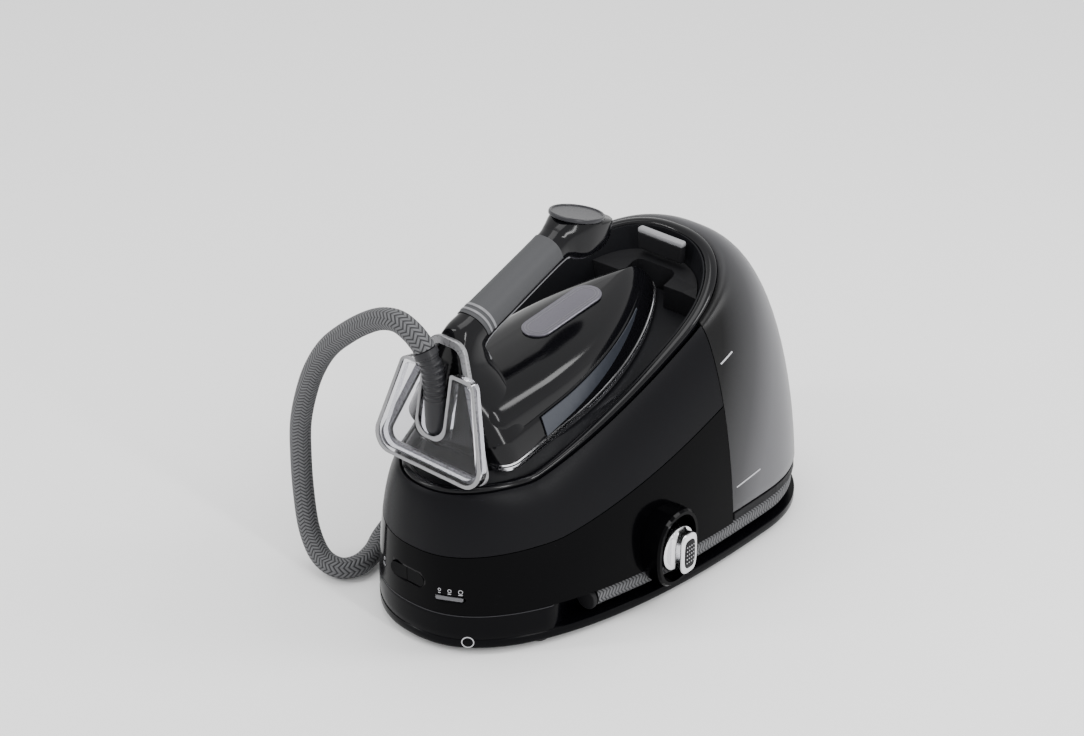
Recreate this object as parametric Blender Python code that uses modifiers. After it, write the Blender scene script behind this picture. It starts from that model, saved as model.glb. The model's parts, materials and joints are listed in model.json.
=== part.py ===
"""Steam generator iron: a station with boiler, pump and slide-out water tank, a corded steam iron that
rests in the station's tray, and the braided steam hose between them.

Metres, +Z up. -Y is the control panel's side, +Y the water tank's side, +X the side of the collector knob.
The station is symmetric about the plane x = CENTRE_X; CENTRE_X puts the origin under the middle of the
whole object, whose right side is longer by the knob. Everything is modelled about x = 0 and hangs on an
empty at CENTRE_X.
"""
from math import atan2, cos, pi, radians, sin, sqrt

import bmesh
import bpy
from mathutils import Matrix, Vector

# ---- driving dimensions -------------------------------------------------------------------------
CENTRE_X = -0.0075
GAP = 0.0004                   # clearance between neighbouring pieces
WALL = 0.0025                  # thickness of the housings
SEGMENTS = 56                  # points round a closed outline

# the station's outline: an egg on the floor and a smaller one round the rim
OUTLINE_POWER = 2.3
FLOOR_EGG = dict(half=0.127, widest=0.10, front=-0.21, back=0.205)
RIM_EGG = dict(half=0.0825, widest=0.027, front=-0.1936, back=0.128)
SHELL_BOTTOM = 0.006
RIM_FRONT_Z = 0.1407
RIM_SLOPE = 0.402
RIM_Z_AT_FRONT_EDGE = 0.1278
RIM_SLOPE_START = -0.165
WALL_POWER_SIDE = 1.8
WALL_POWER_FRONT = 2.0
WALL_POWER_BACK = 2.35
RIM_WIDTH = 0.0100

PAN_TOP = 0.0370
PAN_FLANGE_TOP = 0.0140
GROOVE_DEPTH = 0.0215
GROOVE_START = -0.140
GROOVE_RUN_IN = 0.022
SEAM_Y = 0.051                 # where the side shells end and the water tank starts
TANK_BOTTOM = 0.0460
FOOT_RADIUS = 0.010
FEET = {"front_left": (-0.072, -0.138), "front_right": (0.072, -0.138),
        "rear_left": (-0.085, 0.135), "rear_right": (0.085, 0.135)}

# the iron's own frame: origin at the nose of the sole, +Y forwards, +Z up from the sole
NOSE = Vector((0.0, 0.096, 0.198))
IRON_TILT = atan2(0.2, 1.0)
SOLE_LENGTH = 0.252
SOLE_HALF_WIDTH = 0.0575
SOLE_WIDEST = 0.165            # distance behind the nose
SOLE_THICKNESS = 0.0050

KNOB_Y = -0.030
KNOB_Z = 0.0550
KNOB_FACE_X = 0.142

PANEL_Z = 0.0610
PILL_X = -0.0050
PILL_SIZE = (0.0370, 0.0135)

HOSE_RADIUS = 0.0090
HOSE_GROOVE_Z = 0.0270


# ---- scene --------------------------------------------------------------------------------------
for thing in list(bpy.data.objects):
    bpy.data.objects.remove(thing, do_unlink=True)

parts = bpy.data.collections.new("steam_generator_iron")
tools = bpy.data.collections.new("cutters")
bpy.context.scene.collection.children.link(parts)
bpy.context.scene.collection.children.link(tools)


def empty(name, parent=None, location=(0, 0, 0), tilt=0.0):
    frame = bpy.data.objects.new(name, None)
    frame.empty_display_size = 0.02
    frame.location = location
    frame.rotation_euler = (tilt, 0, 0)
    frame.parent = parent
    parts.objects.link(frame)
    return frame


station = empty("station_frame", location=(CENTRE_X, 0, 0))
iron = empty("iron_frame", station, NOSE, IRON_TILT)


# ---- materials ----------------------------------------------------------------------------------
def material(name, colour, roughness, metallic=0.0, alpha=1.0):
    made = bpy.data.materials.new(name)
    made.use_nodes = True
    shader = made.node_tree.nodes["Principled BSDF"]
    shader.inputs["Base Color"].default_value = (*colour, 1.0)
    shader.inputs["Roughness"].default_value = roughness
    shader.inputs["Metallic"].default_value = metallic
    shader.inputs["Alpha"].default_value = alpha
    return made


MATTE_BLACK = material("matte_black", (0.022, 0.022, 0.024), 0.45)
GLOSS_BLACK = material("gloss_black", (0.008, 0.008, 0.009), 0.08)
DARK_SATIN = material("dark_satin", (0.030, 0.030, 0.033), 0.35)
SMOKED_CLEAR = material("smoked_clear", (0.16, 0.16, 0.17), 0.10, alpha=0.55)
CLEAR_GREY = material("clear_grey", (0.55, 0.56, 0.58), 0.12, alpha=0.45)
SOFT_GREY = material("soft_grey", (0.060, 0.060, 0.063), 0.75)
SATIN_GREY = material("satin_grey", (0.20, 0.20, 0.21), 0.35)
SILVER = material("satin_silver", (0.62, 0.60, 0.66), 0.28, 0.8)
CHROME = material("chrome", (0.80, 0.80, 0.82), 0.12, 1.0)
STEEL = material("steel", (0.55, 0.55, 0.56), 0.30, 1.0)
ALUMINIUM = material("cast_aluminium", (0.60, 0.60, 0.61), 0.45, 1.0)
BRASS = material("brass", (0.72, 0.55, 0.25), 0.30, 1.0)
RUBBER = material("rubber", (0.015, 0.015, 0.016), 0.70)
SILICONE = material("silicone_tube", (0.75, 0.74, 0.70), 0.45)
BOARD_GREEN = material("circuit_board", (0.03, 0.16, 0.07), 0.45)
WHITE_NYLON = material("white_nylon", (0.75, 0.75, 0.72), 0.45)
BRAID = material("hose_braid", (0.14, 0.14, 0.15), 0.65)


# ---- mesh helpers -------------------------------------------------------------------------------
def finish_mesh(name, bm, finish, parent, collection=parts):
    bmesh.ops.recalc_face_normals(bm, faces=bm.faces)
    mesh = bpy.data.meshes.new(name)
    bm.to_mesh(mesh)
    bm.free()
    mesh.shade_smooth()
    mesh.set_sharp_from_angle(angle=radians(35))
    thing = bpy.data.objects.new(name, mesh)
    collection.objects.link(thing)
    thing.parent = parent
    if finish:
        mesh.materials.append(finish)
    return thing


def loft(name, rings, finish, parent=station, around=False, collection=parts):
    """A closed solid through rings of equal length: capped at both ends, or closed on itself if around."""
    bm = bmesh.new()
    rows = [[bm.verts.new(point) for point in ring] for ring in rings]
    count = len(rings[0])
    pairs = list(zip(rows, rows[1:])) + ([(rows[-1], rows[0])] if around else [])
    for low, high in pairs:
        for i in range(count):
            j = (i + 1) % count
            bm.faces.new((low[i], low[j], high[j], high[i]))
    if not around:
        bm.faces.new(rows[0])
        bm.faces.new(rows[-1])
    return finish_mesh(name, bm, finish, parent, collection)


def slab(name, outer, inner, finish, parent=station):
    """A curved plate between two equal grids of points, closed round its four edges."""
    bm = bmesh.new()
    grids = [[[bm.verts.new(p) for p in row] for row in grid] for grid in (outer, inner)]
    rows, columns = len(outer), len(outer[0])
    for grid in grids:
        for i in range(rows - 1):
            for j in range(columns - 1):
                bm.faces.new((grid[i][j], grid[i][j + 1], grid[i + 1][j + 1], grid[i + 1][j]))
    a, b = grids
    for i in range(rows - 1):
        for j in (0, columns - 1):
            bm.faces.new((a[i][j], a[i + 1][j], b[i + 1][j], b[i][j]))
    for j in range(columns - 1):
        for i in (0, rows - 1):
            bm.faces.new((a[i][j], a[i][j + 1], b[i][j + 1], b[i][j]))
    return finish_mesh(name, bm, finish, parent)


def block(name, size, centre, finish, parent=station, bevel=0.0, tilt=0.0, collection=parts):
    bm = bmesh.new()
    bmesh.ops.create_cube(bm, size=1.0, matrix=Matrix.Diagonal((*size, 1.0)))
    thing = finish_mesh(name, bm, finish, parent, collection)
    thing.location = centre
    thing.rotation_euler = (tilt, 0, 0)
    if bevel:
        edge = thing.modifiers.new("rounding", "BEVEL")
        edge.width = bevel
        edge.segments = 2
    return thing


AXIS_TURN = {"X": (0, pi / 2, 0), "Y": (-pi / 2, 0, 0), "Z": (0, 0, 0)}


def cylinder(name, radius, length, start, axis, finish, parent=station, sides=24, bevel=0.0,
             collection=parts, tip_radius=None):
    """A round bar that starts at a point and runs along +axis."""
    bm = bmesh.new()
    bmesh.ops.create_cone(bm, cap_ends=True, segments=sides, radius1=radius,
                          radius2=radius if tip_radius is None else tip_radius, depth=length,
                          matrix=Matrix.Translation((0, 0, length / 2)))
    thing = finish_mesh(name, bm, finish, parent, collection)
    thing.location = start
    thing.rotation_euler = AXIS_TURN[axis]
    if bevel:
        edge = thing.modifiers.new("rounding", "BEVEL")
        edge.width = bevel
        edge.segments = 2
        edge.limit_method = "ANGLE"
    return thing


def turned(name, profile, location, finish, parent=station, axis="Z", sides=28):
    """A turned piece: profile of (radius, height) from the top down its outer side and back up the bore,
    or starting and ending on the axis."""
    bm = bmesh.new()
    points = [bm.verts.new((radius, 0, height)) for radius, height in profile]
    closed = profile[0][0] > 0
    for low, high in zip(points, points[1:] + (points[:1] if closed else [])):
        bm.edges.new((low, high))
    mesh = bpy.data.meshes.new(name)
    bm.to_mesh(mesh)
    bm.free()
    mesh.materials.append(finish)
    thing = bpy.data.objects.new(name, mesh)
    parts.objects.link(thing)
    thing.parent = parent
    thing.location = location
    thing.rotation_euler = AXIS_TURN[axis]
    screw = thing.modifiers.new("turning", "SCREW")
    screw.steps = screw.render_steps = sides
    screw.use_merge_vertices = True
    screw.merge_threshold = 0.00002
    return thing


def tube(name, points, radius, finish, parent=station, resolution=2):
    curve = bpy.data.curves.new(name, "CURVE")
    curve.dimensions = "3D"
    curve.bevel_depth = radius
    curve.bevel_resolution = resolution
    curve.use_fill_caps = True
    line = curve.splines.new("POLY")
    line.points.add(len(points) - 1)
    for spot, point in zip(line.points, points):
        spot.co = (*point, 1.0)
    curve.materials.append(finish)
    thing = bpy.data.objects.new(name, curve)
    parts.objects.link(thing)
    thing.parent = parent
    return thing


def smooth_path(points, step):
    """Points every step metres along one smooth curve through the given points."""
    points = [Vector(p) for p in points]
    ends = [2 * points[0] - points[1]] + points + [2 * points[-1] - points[-2]]
    fine = []
    for a, b, c, d in zip(ends, ends[1:], ends[2:], ends[3:]):
        for i in range(16):
            t = i / 16
            fine.append(0.5 * (2 * b + (c - a) * t + (2 * a - 5 * b + 4 * c - d) * t * t
                               + (3 * b - a - 3 * c + d) * t ** 3))
    fine.append(points[-1])
    total = sum((q - p).length for p, q in zip(fine, fine[1:]))
    count = max(2, round(total / step))
    out, walked, target = [fine[0]], 0.0, total / count
    for p, q in zip(fine, fine[1:]):
        length = (q - p).length
        while walked + length >= target - 1e-9 and len(out) < count:
            out.append(p.lerp(q, (target - walked) / length))
            target += total / count
        walked += length
    return out + [fine[-1]]


def cut(thing, cutter, operation="DIFFERENCE"):
    cutter.hide_render = True
    cutter.display_type = "WIRE"
    change = thing.modifiers.new(operation.lower(), "BOOLEAN")
    change.operation = operation
    change.object = cutter
    return thing


# ---- the station's outer surface ----------------------------------------------------------------
def egg(angle, half, widest, front, back, inset=0.0):
    """A point of an egg outline, seen from above; the angle runs anticlockwise from +X."""
    power = 2 / OUTLINE_POWER
    c, s = cos(angle), sin(angle)
    reach = (back - widest if s > 0 else widest - front) - inset
    return ((half - inset) * (abs(c) ** power) * (1 if c > 0 else -1),
            widest + reach * (abs(s) ** power) * (1 if s > 0 else -1))


def rim_z(y):
    return max(RIM_FRONT_Z, RIM_Z_AT_FRONT_EDGE + RIM_SLOPE * (y - RIM_SLOPE_START))


def body_point(angle, height, inset=0.0):
    """A point of the station's outside, height being 0 at the floor edge and 1 at the rim."""
    bottom = egg(angle, **FLOOR_EGG, inset=inset)
    top = egg(angle, **RIM_EGG, inset=inset)
    s = sin(angle)
    end_power = WALL_POWER_BACK if s > 0 else WALL_POWER_FRONT
    power = WALL_POWER_SIDE + (end_power - WALL_POWER_SIDE) * s * s
    lean = 1 - max(0.0, 1 - height ** power) ** (1 / power)
    x = bottom[0] + (top[0] - bottom[0]) * lean
    y = bottom[1] + (top[1] - bottom[1]) * lean
    rim = rim_z(egg(angle, **RIM_EGG)[1]) - inset * height ** 6
    return Vector((x, y, SHELL_BOTTOM + (rim - SHELL_BOTTOM) * height))


def height_at(angle, z):
    """The height fraction at which the outside passes a level."""
    return (z - SHELL_BOTTOM) / (rim_z(egg(angle, **RIM_EGG)[1]) - SHELL_BOTTOM)


def shell_seam(y):
    """The height fraction of the line between the gloss lower shell and the matte upper shell."""
    return min(0.74, max(0.60, 0.616 + 0.42 * (y + 0.207)))


def front_angles(height_of, limit, inset, count):
    """Angles round the front from the right seam to the left one, where the outside meets y = limit."""
    low, high = -pi / 2, pi / 2
    for _ in range(40):
        middle = (low + high) / 2
        if body_point(middle, height_of(middle), inset)[1] < limit:
            low = middle
        else:
            high = middle
    return [low + (-pi - 2 * low) * i / (count - 1) for i in range(count)]


def front_row(height_of, inset=0.0, limit=SEAM_Y, count=45):
    return [body_point(a, height_of(a), inset) for a in front_angles(height_of, limit, inset, count)]


def back_row(height_of, inset=0.0, limit=SEAM_Y, count=33, closing=6):
    """A closed ring: the outside round the back from seam to seam, and straight across at y = limit."""
    start = front_angles(height_of, limit, inset, 2)[0]
    arc = [start + (pi - 2 * start) * i / (count - 1) for i in range(count)]
    ring = [body_point(a, height_of(a), inset) for a in arc]
    first, last = ring[0], ring[-1]
    return ring + [last.lerp(first, (i + 1) / (closing + 1)) for i in range(closing)]


def ring(make, count=SEGMENTS):
    return [make(2 * pi * (i + 0.5) / count) for i in range(count)]


def level_ring(z, inset=0.0):
    """The floor egg at one level, without the wall's lean."""
    return ring(lambda a: Vector((*egg(a, **FLOOR_EGG, inset=inset), z)))


def rim_ring(inset, lift=0.0):
    def point(a):
        y_edge = egg(a, **RIM_EGG)[1]
        return Vector((*egg(a, **RIM_EGG, inset=inset), rim_z(y_edge) + lift))
    return ring(point)


# ---- base ---------------------------------------------------------------------------------------
def groove_inset(angle):
    """How far the pan's wall stands back from the outline, for the hose groove round sides and back."""
    y = egg(angle, **FLOOR_EGG)[1]
    t = min(1.0, max(0.0, (y - GROOVE_START) / GROOVE_RUN_IN))
    return GROOVE_DEPTH * t * t * (3 - 2 * t)


def pan_ring(z, inset=0.0):
    def point(a):
        height = height_at(a, z)
        skin = body_point(a, height, inset)
        back = body_point(a, height, inset + groove_inset(a))
        return Vector((back[0], back[1], z)) if z > PAN_FLANGE_TOP else Vector((skin[0], skin[1], z))
    return ring(point)


loft("base_pan", [level_ring(0.0045, 0.004), pan_ring(0.0075), pan_ring(PAN_FLANGE_TOP),
                  pan_ring(PAN_FLANGE_TOP + 0.001), pan_ring(PAN_TOP), pan_ring(PAN_TOP, WALL),
                  pan_ring(0.0165, WALL), level_ring(0.0080, GROOVE_DEPTH + WALL)], GLOSS_BLACK)

for place, (x, y) in FEET.items():
    cylinder("foot_" + place, FOOT_RADIUS, 0.0041, (x, y, 0), "Z", RUBBER, bevel=0.0008)


# ---- station shells -----------------------------------------------------------------------------
def at_level(z):
    return lambda a: height_at(a, z)


def seam_height(shift):
    def height(a):
        y = body_point(a, 0.65)[1]
        return shell_seam(y) + shift
    return height


def between(low, high, t):
    return lambda a: low(a) + (high(a) - low(a)) * t


def shell(name, low, high, steps, finish):
    levels = [between(low, high, i / steps) for i in range(steps + 1)]
    limit = SEAM_Y - GAP
    outer = [front_row(level, 0.0, limit) for level in levels]
    inner = [front_row(level, WALL, limit) for level in levels]
    return slab(name, outer, inner, finish)


lower_shell = shell("lower_shell", at_level(PAN_TOP + GAP), seam_height(-0.0015), 5, GLOSS_BLACK)
upper_shell = shell("upper_shell", seam_height(0.0015), lambda a: 0.995, 8, MATTE_BLACK)


def pill_cutter(name, width, height, centre, depth):
    """A bar along Y with a pill outline."""
    turn = 12
    r = height / 2
    outline = [Vector((width / 2 - r + r * sin(pi * i / turn), 0, r * cos(pi * i / turn))) for i in range(turn + 1)]
    outline += [Vector((-p.x, 0, -p.z)) for p in outline]
    front, back = [[p + Vector((0, dy, 0)) for p in outline] for dy in (-depth / 2, depth / 2)]
    made = loft(name, [front, back], None, collection=tools)
    made.location = centre
    return made


PILL_Y = -0.2040
cut(lower_shell, pill_cutter("button_hole", *PILL_SIZE, (PILL_X, PILL_Y, PANEL_Z), 0.03))
LIGHT_X, LIGHT_Z, LIGHT_SIZE = -0.0370, 0.0530, (0.0060, 0.0030)
cut(lower_shell, pill_cutter("light_hole", *LIGHT_SIZE, (LIGHT_X, -0.198, LIGHT_Z), 0.03))
BAR_X, BAR_Z, BAR_SIZE = 0.0350, 0.0520, (0.0230, 0.0036)
cut(lower_shell, pill_cutter("bar_hole", *BAR_SIZE, (BAR_X, -0.198, BAR_Z), 0.03))
cut(lower_shell, cylinder("collector_hole", 0.0135, 0.04, (0.095, KNOB_Y, KNOB_Z), "X", None, collection=tools))

rim_profile = [(GAP, -0.0040), (GAP, 0.0000), (0.0022, 0.0022), (0.0060, 0.0026), (RIM_WIDTH - 0.001, 0.0010),
               (RIM_WIDTH, -0.0015), (RIM_WIDTH, -0.0040)]
cut(upper_shell, loft("rim_seat", [rim_ring(0.0, -0.0050), rim_ring(0.0, 0.0100)], None, collection=tools))
loft("rim_trim", [rim_ring(inset, lift) for inset, lift in rim_profile], GLOSS_BLACK, around=True)


def sole_z(y):
    """Height of the plane that the iron's sole lies in."""
    return NOSE.z + 0.2 * (y - NOSE.y)


TRAY_SIDE = RIM_WIDTH + GAP
TRAY_FLOOR_INSET = 0.0190


def tray_ring(inset, from_rim=None, from_sole=None):
    def point(a):
        x, y = egg(a, **RIM_EGG, inset=inset)
        z = rim_z(egg(a, **RIM_EGG)[1]) + from_rim if from_sole is None else sole_z(y) + from_sole
        return Vector((x, y, z))
    return ring(point)


tray_top = [tray_ring(TRAY_SIDE, from_rim=-0.0006), tray_ring(TRAY_SIDE + 0.0012, from_rim=-0.0006),
            tray_ring(TRAY_FLOOR_INSET, from_sole=-0.0010)]
tray_under = [tray_ring(TRAY_FLOOR_INSET + 0.001, from_sole=-0.0035), tray_ring(TRAY_SIDE + 0.0008, from_rim=-0.0075),
              tray_ring(TRAY_SIDE, from_rim=-0.0065)]
loft("iron_tray", tray_under + tray_top, DARK_SATIN)

# the lock's housing fills the tray's back end and has a notch for the iron's nose
LOCK_FRONT_Y = 0.0800
lock_housing = block("lock_housing", (0.130, 0.060, 0.060), (0, LOCK_FRONT_Y + 0.030, 0.214), DARK_SATIN)
SHELF_DROP = 0.0120


tray_room = [tray_ring(TRAY_FLOOR_INSET + 0.0008, from_sole=-0.0010 + GAP),
             tray_ring(TRAY_SIDE + 0.0020, from_rim=-0.0006)]
cut(lock_housing, loft("tray_room", tray_room, None, collection=tools), "INTERSECT")
cut(lock_housing, loft("over_shelf", [rim_ring(-0.010, -SHELF_DROP), rim_ring(-0.010, 0.050)], None,
                       collection=tools))
cut(lock_housing, block("nose_notch", (0.044, 0.060, 0.080), (0, 0.0685, 0.215), None, bevel=0.006,
                        collection=tools))
WELL_Y = (0.1000, 0.1300)
WELL_FLOOR_Z = 0.2262
LEVER_SIZE = (0.0480, 0.0070, 0.0200)
cut(lock_housing, block("lever_well", (0.0500, WELL_Y[1] - WELL_Y[0], 0.040),
                        (0, sum(WELL_Y) / 2, WELL_FLOOR_Z + 0.020), None, collection=tools))
LEVER_Y = WELL_Y[0] + GAP + LEVER_SIZE[1] / 2
block("lock_lever", LEVER_SIZE, (0, LEVER_Y, WELL_FLOOR_Z + GAP + LEVER_SIZE[2] / 2), SATIN_GREY, bevel=0.002)
cylinder("lock_spring", 0.0018, 0.0048, (0, LEVER_Y + LEVER_SIZE[1] / 2 + GAP, 0.2350), "Y", STEEL, sides=12)

# ---- tank bay -----------------------------------------------------------------------------------
FLOOR_TOP = 0.0440
loft("tank_floor", [[p + Vector((0, 0, z - p.z)) for p in back_row(at_level(z), 0.0008, SEAM_Y + 0.0030)]
                    for z in (PAN_TOP + GAP, FLOOR_TOP)], DARK_SATIN)


def bulkhead_ring(y):
    """The machine bay's rear wall: inside the shells, under the tray."""
    side = [0.1120, 0.1090, 0.1030, 0.0930, 0.0780]
    level = [PAN_TOP + 0.001, 0.100, 0.140, 0.168, 0.176]
    right = [Vector((x, y, z)) for x, z in zip(side, level)]
    return right + [Vector((-p.x, y, p.z)) for p in reversed(right)]


loft("bulkhead", [bulkhead_ring(SEAM_Y - 0.0030), bulkhead_ring(SEAM_Y - 0.0006)], DARK_SATIN)

# ---- water tank ---------------------------------------------------------------------------------
TANK_LEVELS = [0.0, 0.12, 0.3, 0.48, 0.64, 0.77, 0.87, 0.94, 0.98, 1.0]


def tank_block(name, inset, limit, finish, collection):
    def height(step):
        return lambda a: height_at(a, TANK_BOTTOM + inset) * (1 - step) + step
    rings = [back_row(height(step), inset, limit) for step in TANK_LEVELS]
    return loft(name, rings, finish, collection=collection)


def rest_space(name, grow, drop):
    """What the tank keeps clear of: the rim, and the tray down to its underside."""
    low = [Vector((p.x, p.y, sole_z(p.y) - drop)) for p in rim_ring(-grow)]
    high = [Vector((p.x, p.y, 0.34)) for p in rim_ring(-grow)]
    return loft(name, [low, high], None, collection=tools)


tank = tank_block("water_tank", 0.0, SEAM_Y + GAP, SMOKED_CLEAR, parts)
cut(tank, rest_space("rest_space", GAP, 0.0045))
cavity = tank_block("tank_cavity", WALL, SEAM_Y + GAP + WALL, None, tools)
cut(cavity, rest_space("rest_space_with_wall", GAP + WALL, 0.0045 + WALL))
cut(tank, cavity)
FLAP_THICKNESS = 0.0022
FLAP_HEIGHTS = (0.865, 0.955)
FLAP_HALF_TURN = 0.26


def flap_patch(inset, grow=0.0, steps=(5, 10)):
    """A patch of the tank's back, as rows of points, grown a little past its outline where asked."""
    low, high = FLAP_HEIGHTS[0] - grow * 4, FLAP_HEIGHTS[1] + grow * 4
    turn = FLAP_HALF_TURN + grow * 9
    return [[body_point(pi / 2 - turn + 2 * turn * i / steps[1], low + (high - low) * k / steps[0], inset)
             for i in range(steps[1] + 1)] for k in range(steps[0] + 1)]


filler_hole = slab("filler_hole", flap_patch(-0.004, GAP), flap_patch(WALL + 0.003, GAP), None)
parts.objects.unlink(filler_hole)
tools.objects.link(filler_hole)
cut(tank, filler_hole)
VALVE_SPOT = (-0.040, 0.085)
cut(tank, cylinder("outlet_hole", 0.0065, 0.02, (*VALVE_SPOT, 0.038), "Z", None, collection=tools))
turned("tank_outlet_valve", [(0.0, 0.0560), (0.0090, 0.0560), (0.0090, TANK_BOTTOM + WALL + 0.0006),
                             (0.0060, TANK_BOTTOM + WALL + 0.0006), (0.0060, 0.0448), (0.0, 0.0448)],
       (*VALVE_SPOT, 0), WHITE_NYLON)

slab("filler_flap", flap_patch(0.0), flap_patch(FLAP_THICKNESS), SMOKED_CLEAR)

# ---- buttons, lights and knob -------------------------------------------------------------------
BUTTON_DEPTH = 0.0100
BUTTON_FRONT_Y = -0.2078
HALF_GAP = 0.0003


def half_pill(name, side, finish):
    """One half of the pill-shaped button pair; side is -1 for the left half and 1 for the right."""
    turn = 10
    r = PILL_SIZE[1] / 2 - GAP
    straight = PILL_SIZE[0] / 2 - PILL_SIZE[1] / 2
    outline = [Vector((side * (straight + r * sin(pi * i / turn)), 0, r * cos(pi * i / turn))) for i in range(turn + 1)]
    outline += [Vector((side * HALF_GAP, 0, -r)), Vector((side * HALF_GAP, 0, r))]
    rows = [[p + Vector((0, dy, 0)) for p in outline] for dy in (0, BUTTON_DEPTH)]
    made = loft(name, rows, finish)
    made.location = (PILL_X, BUTTON_FRONT_Y, PANEL_Z)
    return made


half_pill("power_button", -1, SATIN_GREY)
half_pill("mode_button", 1, SATIN_GREY)


def lens(name, x, z, size, finish):
    made = pill_cutter(name, size[0] - 2 * GAP, size[1] - 2 * GAP, (x, -0.2000, z), 0.0060)
    tools.objects.unlink(made)
    parts.objects.link(made)
    made.data.materials.append(finish)
    return made


lens("status_light_lens", LIGHT_X, LIGHT_Z, LIGHT_SIZE, CLEAR_GREY)
lens("mode_light_bar", BAR_X, BAR_Z, BAR_SIZE, CLEAR_GREY)
block("control_board", (0.0860, 0.0016, 0.0360), (0, -0.1880, 0.0620), BOARD_GREEN)

body_skin = loft("body_skin", [ring(lambda a, h=h: body_point(a, h, -GAP)) for h in (0, 0.1, 0.2, 0.3, 0.4, 0.5, 0.6)],
                 None, collection=tools)


def oval(half_y, half_z, x):
    count = 32
    power = 0.85
    points = []
    for i in range(count):
        c, s = cos(2 * pi * i / count), sin(2 * pi * i / count)
        points.append(Vector((x, KNOB_Y + half_y * abs(c) ** power * (1 if c > 0 else -1),
                              KNOB_Z + half_z * abs(s) ** power * (1 if s > 0 else -1))))
    return points


HOUSING_HALF = (0.0265, 0.0345)
HOUSING_FACE_X = 0.1310
HOUSING_WALL = 0.0042
housing = loft("knob_housing", [oval(*HOUSING_HALF, 0.1080), oval(*HOUSING_HALF, HOUSING_FACE_X - 0.002),
                                oval(HOUSING_HALF[0] - 0.0015, HOUSING_HALF[1] - 0.0015, HOUSING_FACE_X)], GLOSS_BLACK)
cut(housing, body_skin)
cut(housing, loft("housing_bore", [oval(HOUSING_HALF[0] - HOUSING_WALL, HOUSING_HALF[1] - HOUSING_WALL, x)
                                   for x in (0.100, 0.140)], None, collection=tools))
KNOB_RADIUS = 0.0195
knob = cylinder("descale_knob", KNOB_RADIUS, 0.0080, (0.1232, KNOB_Y, KNOB_Z), "X", CHROME, bevel=0.001, sides=32)
grip_bar = block("grip_bar", (0.0120, 0.0180, 0.0370), (0.1360, KNOB_Y, KNOB_Z), None, bevel=0.002, collection=tools)
cut(knob, grip_bar, "UNION")
block("descale_knob_pad", (0.0008, 0.0110, 0.0220), (KNOB_FACE_X + GAP + 0.0004, KNOB_Y, KNOB_Z), RUBBER)
cylinder("collector_cartridge", 0.0125, 0.0500, (0.1232 - GAP - 0.0500, KNOB_Y, KNOB_Z), "X", WHITE_NYLON, bevel=0.001)

# ---- inside the station -------------------------------------------------------------------------
BOILER_SPOT = (-0.010, -0.075, 0)
turned("boiler_vessel", [(0.0, 0.0860), (0.0380, 0.0860), (0.0400, 0.0840), (0.0400, 0.0640), (0.0470, 0.0640),
                         (0.0470, 0.0600), (0.0400, 0.0600), (0.0400, 0.0270), (0.0370, 0.0240), (0.0, 0.0240)],
       BOILER_SPOT, ALUMINIUM)
turned("boiler_heater", [(0.0340, 0.0236), (0.0340, 0.0150), (0.0270, 0.0150), (0.0270, 0.0236)], BOILER_SPOT, STEEL)
cylinder("boiler_thermostat", 0.0080, 0.0060, (BOILER_SPOT[0] - 0.018, BOILER_SPOT[1], 0.0864), "Z", STEEL)
cylinder("safety_valve", 0.0060, 0.0160, (BOILER_SPOT[0] + 0.018, BOILER_SPOT[1] - 0.012, 0.0864), "Z", BRASS, sides=6)
VALVE_CENTRE = Vector((0.0550, -0.1180, 0.0500))
block("steam_valve", (0.0220, 0.0260, 0.0400), VALVE_CENTRE, STEEL, bevel=0.002)
cylinder("water_pump", 0.0170, 0.0620, (-0.0760, -0.0500, 0.0560), "Y", WHITE_NYLON, bevel=0.002)
block("pump_mount", (0.0280, 0.0360, 0.0250), (-0.0760, -0.0190, 0.0260), RUBBER, bevel=0.001)
block("power_board", (0.0300, 0.0600, 0.0016), (0.0600, -0.0500, 0.0900), BOARD_GREEN)
turned("tank_seat_valve", [(0.0110, 0.0366), (0.0110, 0.0250), (0.0050, 0.0250), (0.0050, 0.0366)],
       (*VALVE_SPOT, 0), WHITE_NYLON)
tube("tank_water_tube", smooth_path([(*VALVE_SPOT, 0.0246), (VALVE_SPOT[0], VALVE_SPOT[1] - 0.012, 0.0180),
                                     (-0.0500, 0.0500, 0.0170), (-0.0720, 0.0330, 0.0280), (-0.0760, 0.0270, 0.0480),
                                     (-0.0760, 0.0200, 0.0557), (-0.0760, 0.0134, 0.0560)], 0.006), 0.0030, SILICONE)
tube("boiler_feed_tube", smooth_path([(-0.0760, -0.0512, 0.0560), (-0.0760, -0.0600, 0.0565), (-0.0700, -0.0730, 0.0760),
                                      (-0.0600, -0.0750, 0.0740), (-0.0506, -0.0750, 0.0740)], 0.006), 0.0024, SILICONE)
tube("steam_tube", smooth_path([(0.0306, -0.0750, 0.0740), (0.0400, -0.0756, 0.0740), (0.0500, -0.0880, 0.0760),
                                (0.0550, -0.1050, 0.0810), (0.0550, -0.1130, 0.0780), (0.0550, -0.1140, 0.0713)], 0.006),
     0.0024, SILICONE)



# ---- the iron -----------------------------------------------------------------------------------
def sole_half_width(back):
    """Half the sole's width at a distance behind its nose."""
    t = min(1.0, back / SOLE_WIDEST)
    taper = max(0.0, back - SOLE_WIDEST) * 0.05
    return SOLE_HALF_WIDTH * (1 - (1 - t) ** 2) ** 0.833 - taper


SIDE_POINTS = 18
CORNER = 0.016


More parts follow.
